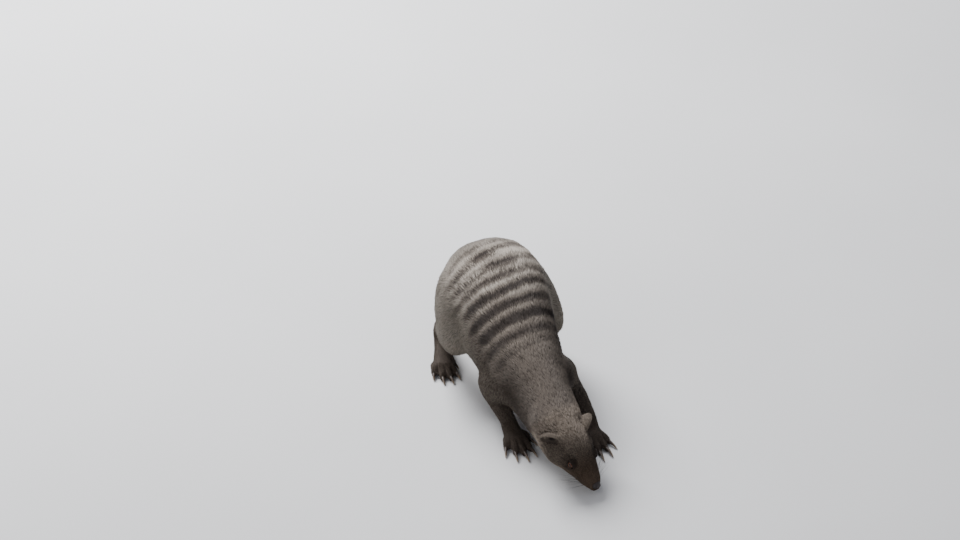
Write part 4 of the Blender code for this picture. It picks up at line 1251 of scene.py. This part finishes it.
class Finish:
    """A material, built round one principled shader."""

    def __init__(self, name, fixed):
        self.material = bpy.data.materials.new(name)
        self.material.use_nodes = True
        self.tree = self.material.node_tree
        self.shader = self.tree.nodes["Principled BSDF"]
        self.set(self.shader, fixed)

    def set(self, node, inputs):
        for key, value in inputs.items():
            if isinstance(value, Wire):
                self.tree.links.new(value.socket, node.inputs[key])
            else:
                node.inputs[key].default_value = value

    def node(self, kind, settings=None, inputs=None, output=0):
        """A node of this type, with its settings and the values or links of its sockets."""
        made = self.tree.nodes.new(kind)
        for key, value in (settings or {}).items():
            if key == "stops":
                while len(made.color_ramp.elements) < len(value):
                    made.color_ramp.elements.new(0.5)
                for element, (place, colour) in zip(made.color_ramp.elements, value):
                    element.position = place
                    element.color = (*colour, 1)
            else:
                setattr(made, key, value)
        self.set(made, inputs or {})
        return Wire(self, made.outputs[output])

    def math(self, operation, *values):
        return self.node("ShaderNodeMath", {"operation": operation}, dict(enumerate(values)))

    def reading(self, name):
        return self.node("ShaderNodeAttribute", {"attribute_name": name}, output="Fac")

    def place(self):
        return self.node("ShaderNodeTexCoord", output="Object")

    def noise(self, scale, detail=2.0, distortion=0.0):
        inputs = {"Vector": self.place(), "Scale": scale, "Detail": detail, "Distortion": distortion}
        return self.node("ShaderNodeTexNoise", None, inputs, output="Fac")

    def ramp(self, value, *stops):
        return self.node("ShaderNodeValToRGB", {"stops": stops}, {"Fac": value})

    def mix(self, share, a, b, blend="MIX"):
        settings = {"data_type": "RGBA", "blend_type": blend}
        return self.node("ShaderNodeMix", settings, {0: share, 6: rgba(a), 7: rgba(b)}, output=2)

    def bump(self, height, distance):
        return self.node("ShaderNodeBump", None, {"Height": height, "Distance": distance, "Strength": 1.0})

    def made(self, inputs):
        """The material, once these are set on its shader."""
        self.set(self.shader, inputs)
        return self.material


def rgba(colour):
    return colour if isinstance(colour, Wire) else (*colour[:3], 1)


def shade(colour, share):
    """A colour darkened or lightened evenly."""
    return [value * share for value in colour]


# How much of a hair's shade its rings, its own tone and its dark root take part in
RING_SHARE, TONE_SHARE, ROOT_SHARE = 0.1, 0.17, 0.1
RINGS, RING_SHIFT = 1.25, 0.9  # rings along a hair, and how far its tone shifts them
SKIN_CONTRAST = 0.4
BARE_FROM = (0.35, 0.75)  # bareness between which the hair's colour gives way to the skin's
HAIR_STOPS = (0.05, 0.38, 0.66, 1.0)  # where dark, brown, buff and cream lie on the ramp of shades


def coat_finish(name, colours, on_skin):
    """Grizzled hair: each hair ringed dark and pale, more dark where the bands and the feet are."""
    finish = Finish(name, {"Roughness": 0.64, "Specular IOR Level": 0.08})
    if on_skin:
        tone = finish.noise(1500.0, 3.0).step(0.3, 0.7)
        along = finish.noise(420.0) * 0.6 + 0.2
    else:
        tone, along = finish.reading("tone"), finish.reading("along")
    rings = ((along * RINGS + tone * RING_SHIFT) * (2 * math.pi)).sine()
    root = (1 - along) ** 2.0
    contrast = SKIN_CONTRAST if on_skin else 1.0
    change = rings * (RING_SHARE * contrast) + (tone - 0.5) * (TONE_SHARE * contrast) - root * ROOT_SHARE
    hairs = (colours.dark_hair, colours.brown_hair, colours.buff_hair, colours.cream_hair)
    hair = finish.ramp(finish.reading("pale") + change, *zip(HAIR_STOPS, hairs))
    hair = finish.mix(finish.reading("warm"), hair, colours.warmth, "MULTIPLY")
    inputs = {}
    if on_skin:
        bare = finish.reading("bare")
        hair = finish.mix(bare.step(*BARE_FROM), hair, colours.bare_skin)
        strands = finish.noise(1400.0, 2.0, 0.6)
        inputs = {"Normal": finish.bump(strands, 0.4 * MM), "Roughness": 0.66 - bare * 0.25}
    return finish.made({"Base Color": hair, **inputs})


def shared_coat_finish(colours):
    """The one material of all the coat pieces."""
    return bpy.data.materials.get("grizzled_coat") or coat_finish("grizzled_coat", colours, on_skin=False)


IRIS_EDGE = (0.012, 0.007, 0.005)
PUPIL = (0.002, 0.002, 0.002)
# Shares of the eye's radius at which the dark edge of the iris, the white and the end of the pupil fade in
EDGE_FROM, WHITE_FROM, PUPIL_TO = (0.52, 0.72), (0.74, 0.86), (0.26, 0.34)
PUPIL_SHAPE = (0.62, 1.5)  # the pupil is longer than high
WHITE = ((0.3, (0.05, 0.03, 0.022)), (0.7, (0.11, 0.075, 0.06)))  # mottled brown, as in the species


def eye_finish(colours):
    """A dark red-brown iris with a pupil that lies level, under a wet cornea."""
    fixed = {"Roughness": 0.06, "Coat Weight": 0.1, "Coat Roughness": 0.02, "Specular IOR Level": 0.25}
    finish = Finish("eye", fixed)
    level, rise = finish.reading("level"), finish.reading("rise")
    out = (level * level + rise * rise) ** 0.5
    pupil = ((level * PUPIL_SHAPE[0]) ** 2.0 + (rise * PUPIL_SHAPE[1]) ** 2.0) ** 0.5
    streaks = finish.noise(2600.0, 3.0, 1.5)
    iris = finish.ramp(streaks, (0.25, shade(colours.iris, 0.35)), (0.75, colours.iris))
    iris = finish.mix(out.step(*EDGE_FROM), iris, IRIS_EDGE)
    iris = finish.mix(pupil.step(*PUPIL_TO), PUPIL, iris)
    white = finish.ramp(finish.noise(900.0), *WHITE)
    return finish.made({"Base Color": finish.mix(out.step(*WHITE_FROM), iris, white)})


# painted shade: near black for the deep nostrils and, more faintly, the groove between them
NOSTRIL_SHADOW = (0.004, 0.003, 0.003)


def nose_finish(colours):
    """Pebbled, damp leather, with painted shade in the nostrils and the groove between them."""
    finish = Finish("nose_leather", {"Coat Roughness": 0.25, "Specular IOR Level": 0.35, "Coat Weight": 0.1})
    inputs = {"Vector": finish.place(), "Scale": 2300.0}
    cells = finish.node("ShaderNodeTexVoronoi", {"feature": "F1"}, inputs, output="Distance")
    patches = finish.noise(420.0, 3.0)
    leather = finish.mix(patches.step(0.35, 0.65), shade(colours.nose, 0.7), shade(colours.nose, 1.7))
    # painted shade in the nostrils and the groove
    leather = finish.mix(finish.reading("hollow"), leather, NOSTRIL_SHADOW)
    pebbles = finish.bump(cells * 0.8 + patches * 0.6, 0.22 * MM)
    return finish.made({"Base Color": leather, "Roughness": 0.42 + patches * 0.2, "Normal": pebbles})


def claw_finish(colours):
    """Dark horn, paler and clearer towards the worn tip, grained lengthwise."""
    finish = Finish("claw_horn", {"Coat Weight": 0.06, "Coat Roughness": 0.3, "Specular IOR Level": 0.35})
    grain = finish.noise(1500.0, 4.0, 1.2)
    worn = (finish.reading("along") + (grain - 0.5) * 0.35).step(0.25, 1.05)
    horn = finish.mix(worn, colours.claw, colours.claw_tip)
    horn = finish.mix(grain.step(0.45, 0.75) * 0.5, horn, shade(colours.claw, 0.45))
    grooves = finish.bump(grain, 0.15 * MM)
    return finish.made({"Base Color": horn, "Roughness": 0.38 + grain * 0.22, "Normal": grooves})


def plain_finish(name, colour, roughness, grain):
    """A quiet finish with a faint mottle."""
    finish = Finish(name, {"Roughness": roughness})
    mottle = finish.noise(grain, 3.0).step(0.3, 0.7)
    return finish.made({"Base Color": finish.mix(mottle, shade(colour, 0.94), colour)})


# ---------------------------------------------------------------- eyes, nose, claws, whiskers


CORNEA = (0.72, 0.35 * MM)  # how far forward it starts, as a share of the radius, and its bulge


class MONGOOSE_OT_eyes(bpy.types.Operator):
    """Makes both eyeballs, with a bulging cornea, set where the solids have them"""

    bl_idname = "mongoose.eyes"
    bl_label = "Eyes"

    def execute(self, context):
        material = eye_finish(context.scene.mongoose_colours)
        for side, centre, gaze, corners, radius in eye_places():
            ball = bmesh.new()
            bmesh.ops.create_uvsphere(ball, u_segments=64, v_segments=48, radius=radius)
            for vertex in ball.verts:
                front = max(0.0, vertex.co.z / radius - CORNEA[0]) / (1 - CORNEA[0])
                vertex.co.z += CORNEA[1] * front * front
            level = [v.co.x / radius for v in ball.verts]
            rise = [v.co.y / radius + (2 if v.co.z < 0 else 0) for v in ball.verts]
            place = placing((corners, gaze.cross(corners), gaze), centre)
            bmesh.ops.transform(ball, matrix=place, verts=ball.verts)
            eye = dressed(new_piece(f"eyeball_{side}", ball), material)
            keep(eye.data, "level", np.array(level))
            keep(eye.data, "rise", np.array(rise))
            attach(eye, "root")
            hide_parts(f"eye_{side}")
        return {"FINISHED"}


NOSTRIL_DEPTH, GROOVE_DEPTH, WING_RISE = 0.42, 0.09, 0.07  # as shares of the nose's half length
# As shares of the nose's half width and height: places across and up, and sizes
NOSTRIL_AT, NOSTRIL_SIZE = (0.5, -0.02), 0.2
SLIT_AT, SLIT_SIZE = (0.72, -0.26), (0.22, 0.1)
WING_AT, WING_SIZE = (0.62, 0.3), 0.3
GROOVE_WIDTH, GROOVE_TOP = 0.055, 0.35


class MONGOOSE_OT_nose(bpy.types.Operator):
    """Makes the nose leather with its nostrils and the groove between them"""

    bl_idname = "mongoose.nose"
    bl_label = "Nose"

    def execute(self, context):
        leather = bmesh.new()
        bmesh.ops.create_uvsphere(leather, u_segments=96, v_segments=64, radius=1)
        shade_in_hollows = []
        for vertex in leather.verts:
            back, left, up = vertex.co
            front = max(0.0, -back)
            across = abs(left)
            aside, above = across - NOSTRIL_AT[0], up - NOSTRIL_AT[1]
            hole = math.hypot(aside - 0.12 * max(0.0, -up), above + aside * 0.5) / NOSTRIL_SIZE
            slit = math.hypot((across - SLIT_AT[0]) / SLIT_SIZE[0], (up - SLIT_AT[1]) / SLIT_SIZE[1])
            hollow = max(math.exp(-(hole**4)), 0.8 * math.exp(-(slit**4))) * min(1.0, front * 2.2)
            groove = hump(left, 0, GROOVE_WIDTH) * front * (1 if up < GROOVE_TOP else 0.3)
            wing = hump(across, WING_AT[0], WING_SIZE) * hump(up, WING_AT[1], WING_SIZE) * front
            vertex.co.x += NOSTRIL_DEPTH * hollow + GROOVE_DEPTH * groove - WING_RISE * wing
            vertex.co.z *= 0.94 if up > 0 else 1.0
            # painted shade: full in the nostrils, faint in the groove between them
            shade_in_hollows.append(min(1.0, hollow * 1.25 + groove * 0.35))
        place = placing((HEAD.along, HEAD.left, HEAD.up), middle("nose"))
        bmesh.ops.transform(leather, matrix=place @ Matrix.Diagonal((*NOSE_HALF, 1)), verts=leather.verts)
        bmesh.ops.recalc_face_normals(leather, faces=leather.faces)
        leather = new_piece("nose_leather", leather)
        nose = dressed(leather, nose_finish(context.scene.mongoose_colours))
        keep(nose.data, "hollow", np.array(shade_in_hollows))
        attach(nose, "root")
        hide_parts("nose")
        return {"FINISHED"}


def bevelled_curve(name, depth, resolution):
    """An empty curve whose lines get a round section and closed ends."""
    curve = bpy.data.curves.new(name, "CURVE")
    curve.dimensions = "3D"
    curve.bevel_depth = depth
    curve.bevel_resolution = resolution
    curve.use_fill_caps = True
    return curve


def add_line(curve, places, radii):
    """Adds a line to a curve, and returns its points as they are kept."""
    spline = curve.splines.new("POLY")
    spline.points.add(len(places) - 1)
    for point, place, radius in zip(spline.points, places, radii):
        point.co = (*place, 1)
        point.radius = radius
    return [tuple(point.co)[:3] for point in spline.points]


def from_curve(name, curve):
    """The mesh of a bevelled curve, as a piece."""
    guide = placed("line", curve)
    piece = new_piece(name, shape_of(guide))
    bpy.data.objects.remove(guide)
    bpy.data.curves.remove(curve)
    return piece


CLAW_STEPS = np.array((0, 0.06, 0.15, 0.28, 0.42, 0.56, 0.69, 0.8, 0.89, 0.96, 1.0))
# Along a claw, its radius in millimetres
CLAW_WIDTH = (
    (0, 0.9),
    (0.06, 1.45),
    (0.15, 1.65),
    (0.42, 1.4),
    (0.69, 1.0),
    (0.89, 0.58),
    (0.96, 0.36),
    (1.0, 0.12),
)
CLAW_ARCH = 0.9 * MM  # how far the claw's line rises over the middle of its solid


def add_claw(curve, node):
    """Adds a claw's line, arched and tapering, through the middle of its solid, and returns the line."""
    root, heart, tip = claw_line(node)
    bow = 2 * heart - (root + tip) / 2 + np.array((0, 0, CLAW_ARCH))
    t = CLAW_STEPS[:, None]
    places = root * (1 - t) ** 2 + bow * 2 * t * (1 - t) + tip * t * t
    radii = np.interp(CLAW_STEPS, *zip(*CLAW_WIDTH)) * MM
    places[:, 2] = np.maximum(places[:, 2], radii + FLOOR_GAP)
    return add_line(curve, places, radii)


class MONGOOSE_OT_claws(bpy.types.Operator):
    """Makes the claws of the four feet, rounder and finer than their solids"""

    bl_idname = "mongoose.claws"
    bl_label = "Claws"

    def execute(self, context):
        material = claw_finish(context.scene.mongoose_colours)
        for foot in ("fore", "hind"):
            for side in SIDES:
                nodes = claws_on(foot, side)
                curve = bevelled_curve("claws", 1, 4)
                lines = [add_claw(curve, node) for node in nodes]
                piece = dressed(from_curve(f"claws_{foot}_{side}", curve), material)
                gaps = read(piece.data.vertices, "co", 3)[:, None] - np.concatenate(lines)[None]
                along = np.tile(CLAW_STEPS, len(nodes))[(gaps**2).sum(2).argmin(1)]
                keep(piece.data, "along", along)
                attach(piece, "root")
                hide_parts(*nodes)
        return {"FINISHED"}


# Rows of whiskers: behind the nose tip, out, above the axis (centimetres), how many, and their length
WHISKER_ROWS = (
    ((0.95, 0.9, 0.12), (1.75, 1.15, 0.1), 4, 1.8),
    ((0.9, 0.95, -0.08), (1.9, 1.25, -0.12), 5, 2.3),
    ((0.9, 0.9, -0.26), (1.7, 1.2, -0.34), 4, 1.8),
    ((3.0, 1.05, 1.45), (3.4, 1.1, 1.5), 2, 1.3),
)
WHISKER_SEED = 21
WHISKER_OUT, WHISKER_BACK, WHISKER_UP = 0.75, (0.45, 0.8), (-0.25, 0.15)  # shares of the way it points
WHISKER_LENGTHS = (0.8, 1.1)  # range of the lengths in a row
WHISKER_DROOP = (0.16, 0.18)  # backward and downward, as shares of its length
WHISKER_STEPS, WHISKER_TAPER = 8, 0.86
WHISKER_RADIUS = 0.13 * MM
WHISKER_ROOT = 0.4 * MM  # how deep it stands in the skin
WHISKER_HEIGHT = 0.2 * MM  # least height over the floor


class MONGOOSE_OT_whiskers(bpy.types.Operator):
    """Makes the whiskers of the muzzle and the brows as thin tapering hairs"""

    bl_idname = "mongoose.whiskers"
    bl_label = "Whiskers"

    def execute(self, context):
        chance = np.random.default_rng(WHISKER_SEED)
        reader = SkinReader()
        curve = bevelled_curve("whiskers", WHISKER_RADIUS, 1)
        back, up = np.array(HEAD.along), np.array(HEAD.up)
        steps = np.linspace(0, 1, WHISKER_STEPS)
        t = steps[:, None]
        for first, last, count, length in WHISKER_ROWS:
            for sign in SIDES.values():
                for i in range(count):
                    spot = np.array(first) + (np.array(last) - np.array(first)) * i / (count - 1)
                    root, normal = reader.under([HEAD.outside(spot * (1, sign, 1) * CM)])
                    way = normal * WHISKER_OUT + back * chance.uniform(*WHISKER_BACK)
                    way = unit(way + up * chance.uniform(*WHISKER_UP))
                    way = way * length * CM * chance.uniform(*WHISKER_LENGTHS)
                    droop = (back * WHISKER_DROOP[0] - np.array((0, 0, WHISKER_DROOP[1]))) * length * CM
                    places = root - normal * WHISKER_ROOT + way * t + droop * t * t
                    places[:, 2] = np.maximum(places[:, 2], WHISKER_HEIGHT)
                    add_line(curve, places, 1 - WHISKER_TAPER * steps)
        whisker = context.scene.mongoose_colours.whisker
        piece = dressed(from_curve("whiskers", curve), plain_finish("whisker_hair", whisker, 0.4, 300.0))
        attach(piece, "root")
        return {"FINISHED"}


# ---------------------------------------------------------------- the studio


FLOOR_SIZE = 6
AIR = (0.86, 0.89, 1.0)
KEY = ((-0.35, 1.6, 1.5), 1.3, (0.93, 0.95, 1.0))  # place, size and colour of each light
FILL = ((-1.9, -0.9, 1.5), 1.6, (1.0, 0.985, 0.96))
SENSOR = 36


def aimed(thing, place, aim):
    """Puts a lamp or a camera at a place, turned to the aim."""
    thing.location = place
    thing.rotation_euler = (Vector(aim) - Vector(place)).to_track_quat("-Z", "Y").to_euler()


def soft_light(name, power, aim, place, size, colour):
    light = bpy.data.lights.new(name, "AREA")
    light.shape = "DISK"
    light.size = size
    light.energy = power
    light.color = colour
    aimed(placed(name, light), place, aim)


class MONGOOSE_OT_studio(bpy.types.Operator):
    """Lays the plain floor, hangs the soft lights and sets the camera"""

    bl_idname = "mongoose.studio"
    bl_label = "Studio"

    def execute(self, context):
        studio = context.scene.mongoose_studio
        ground = bmesh.new()
        bmesh.ops.create_grid(ground, x_segments=8, y_segments=8, size=FLOOR_SIZE)
        floor = new_piece("floor", ground)
        pale_grey = context.scene.mongoose_colours.floor
        floor.data.materials.append(plain_finish("studio_floor", pale_grey, 0.9, 2.0))
        world = bpy.data.worlds.new("studio_air")
        world.use_nodes = True
        air = world.node_tree.nodes["Background"]
        air.inputs["Color"].default_value = (*AIR, 1)
        air.inputs["Strength"].default_value = studio.sky
        context.scene.world = world
        aim = Vector(studio.aim)
        soft_light("key_light", studio.key, aim, *KEY)
        soft_light("fill_light", studio.fill, aim, *FILL)
        a, e = studio.azimuth, studio.elevation
        back = Vector((math.sin(a) * math.cos(e), -math.cos(a) * math.cos(e), math.sin(e)))
        view = bpy.data.cameras.new("camera")
        view.lens = studio.lens
        view.sensor_width = SENSOR
        camera = placed("camera", view)
        aimed(camera, aim + back * studio.distance, aim)
        context.scene.camera = camera
        return {"FINISHED"}


# ---------------------------------------------------------------- the add-on


class MONGOOSE_PT_panel(bpy.types.Panel):
    """The mongoose's pieces in the order that they are made"""

    bl_idname = "MONGOOSE_PT_panel"
    bl_label = "Banded Mongoose"
    bl_space_type = "VIEW_3D"
    bl_region_type = "UI"
    bl_category = "Mongoose"

    def draw(self, context):
        column = self.layout.column(align=True)
        column.operator("mongoose.skin")
        for stretch in COAT_PIECES:
            column.operator("mongoose.coat", text=f"Coat: {stretch.replace('_', ' ')}").stretch = stretch
        for step in ("eyes", "nose", "claws", "whiskers", "studio"):
            column.operator(f"mongoose.{step}")
        for name in GROUPS:
            group = getattr(context.scene, name)
            box = self.layout.box()
            for field in group.bl_rna.properties.keys():
                if field not in ("rna_type", "name"):
                    box.prop(group, field)


GROUPS = {
    "mongoose_skin": MongooseSkin,
    "mongoose_coat": MongooseCoat,
    "mongoose_colours": MongooseColours,
    "mongoose_studio": MongooseStudio,
}
CLASSES = (
    *GROUPS.values(),
    MONGOOSE_OT_skin,
    MONGOOSE_OT_coat,
    MONGOOSE_OT_eyes,
    MONGOOSE_OT_nose,
    MONGOOSE_OT_claws,
    MONGOOSE_OT_whiskers,
    MONGOOSE_OT_studio,
    MONGOOSE_PT_panel,
)


def register():
    for kind in CLASSES:
        bpy.utils.register_class(kind)
    for name, group in GROUPS.items():
        setattr(bpy.types.Scene, name, PointerProperty(type=group))


def unregister():
    for name in GROUPS:
        delattr(bpy.types.Scene, name)
    for kind in reversed(CLASSES):
        bpy.utils.unregister_class(kind)


def main():
    register()
    bpy.ops.mongoose.skin()
    for stretch in COAT_PIECES:
        bpy.ops.mongoose.coat(stretch=stretch)
    bpy.ops.mongoose.eyes()
    bpy.ops.mongoose.nose()
    bpy.ops.mongoose.claws()
    bpy.ops.mongoose.whiskers()
    bpy.ops.mongoose.studio()


if __name__ == "__main__":
    main()
